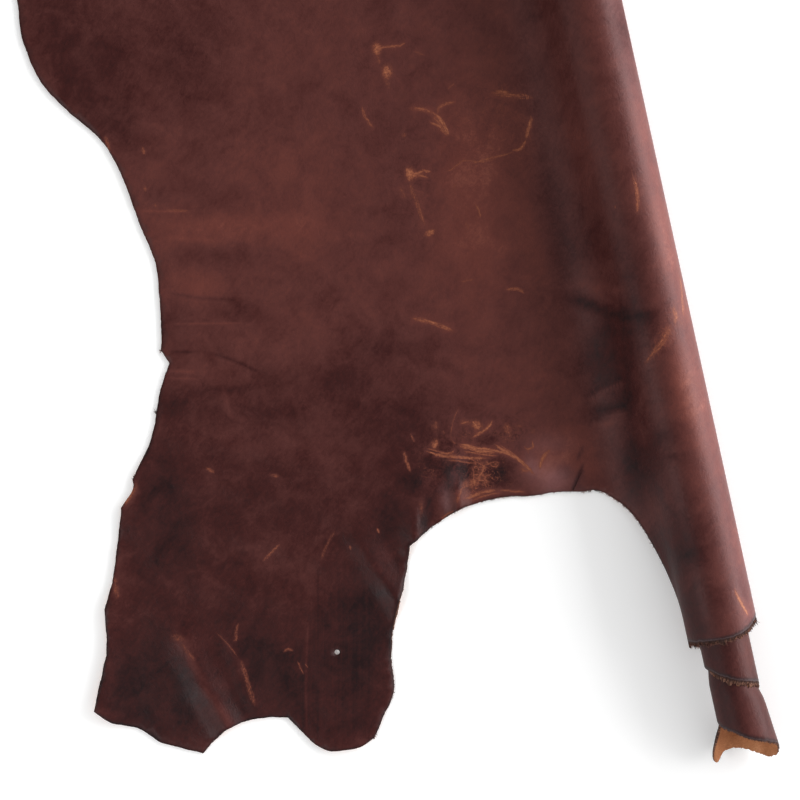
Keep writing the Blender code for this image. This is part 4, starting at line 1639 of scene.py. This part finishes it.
def loose_fibre():
    """Strands that stand out of the cut, dark brown to tan."""
    n = Nodes(bpy.data.materials.new("loose fibre"))
    place = n.node("TexCoord").outputs["Object"]
    colour = n.ramp(n.noise(place, 260.0, 2.0, 0.6), (
        (0.38, (0.030, 0.012, 0.010)),
        (0.55, (0.110, 0.042, 0.030)),
        (0.68, (0.260, 0.120, 0.080)),
    ))
    return n.shade({"Base Color": colour, "Roughness": 0.85, "Specular IOR Level": 0.2})


# ---------------------------------------------------------------- studio

FLOOR_SIZE = 40.0
FLOOR_HEIGHT = -0.0004        # just under the hide
WALL_LIGHT = 1.34
OVERHEAD_LIGHT = 0.33
WALL_LEAN = 0.60              # how much brighter the right wall is than the mean


def make_floor():
    corners = np.array(((-1, -1), (1, -1), (1, 1), (-1, 1))) * FLOOR_SIZE / 2
    corners = np.pad(corners, ((0, 0), (0, 1)), constant_values=FLOOR_HEIGHT)
    white = Nodes(bpy.data.materials.new("white table")).shade({
        "Base Color": WHITE,
        "Roughness": 0.9,
        "Specular IOR Level": 0.0,
        "Emission Color": WHITE,
        "Emission Strength": 0.12,
    })
    add_mesh("floor", corners, [(0, 1, 2, 3)], white)


def make_light(name, place, target, size, radiance):
    """A soft panel of the given width and height, out of the camera's sight."""
    light = bpy.data.lights.new(name, "AREA")
    light.shape = "RECTANGLE"
    light.size, light.size_y = size
    light.energy = radiance * math.pi * size[0] * size[1]
    lamp = add_object(name, light)
    lamp.location = place
    lamp.rotation_euler = (Vector(target) - Vector(place)).to_track_quat("-Z", "Y").to_euler()
    lamp.visible_camera = False


def make_world():
    """Walls that darken overhead and to the left, and a plain white behind the object."""
    world = bpy.data.worlds.new("studio")
    n = Nodes(world)
    right, _, up = n.split(n.node("TexCoord").outputs["Generated"])
    height = n.spread(up, 0.0, 1.0, WALL_LIGHT, OVERHEAD_LIGHT, "SMOOTHSTEP")
    side = n.spread(right, -1.0, 1.0, 1.0 - WALL_LEAN, 1.0 + WALL_LEAN)
    walls = n.feed(n.tree.nodes["Background"], {"Color": WHITE, "Strength": n.times(height, side)})
    plain = n.feed(n.node("Background"), {"Color": WHITE})
    direct = n.node("LightPath").outputs["Is Camera Ray"]
    either = n.feed(n.node("MixShader"), {0: direct, 1: walls[0], 2: plain[0]})
    n.feed(n.tree.nodes["World Output"], {"Surface": either[0]})
    bpy.context.scene.world = world


def make_studio():
    make_floor()
    make_world()
    make_light("right softbox", (2.7, -0.3, 0.95), (0.2, -0.4, 0.0), (3.6, 1.3), 6.0)
    make_light("left strip", (-1.7, -1.4, 1.5), (-0.15, -0.8, 0.0), (1.4, 0.5), 8.0)
    bpy.context.scene.view_settings.view_transform = "Standard"
    bpy.context.scene.view_settings.look = "None"


def make_camera():
    data = bpy.data.cameras.new("camera")
    data.sensor_width = SENSOR
    data.lens = SENSOR * CAMERA_HEIGHT / VIEW_SPAN
    camera = add_object("camera", data)
    camera.location = (CAMERA_ACROSS, CAMERA_ALONG, CAMERA_HEIGHT)
    camera.rotation_euler = (0.0, 0.0, -ROLL_LEAN)
    bpy.context.scene.camera = camera


make_camera()
make_studio()
cut_line = roughened(plan_outline())
hide = make_hide(cut_line)
fibres = make_fibres(cut_line)
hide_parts(NODE)
for piece in (hide, fibres):
    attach(piece, "root")
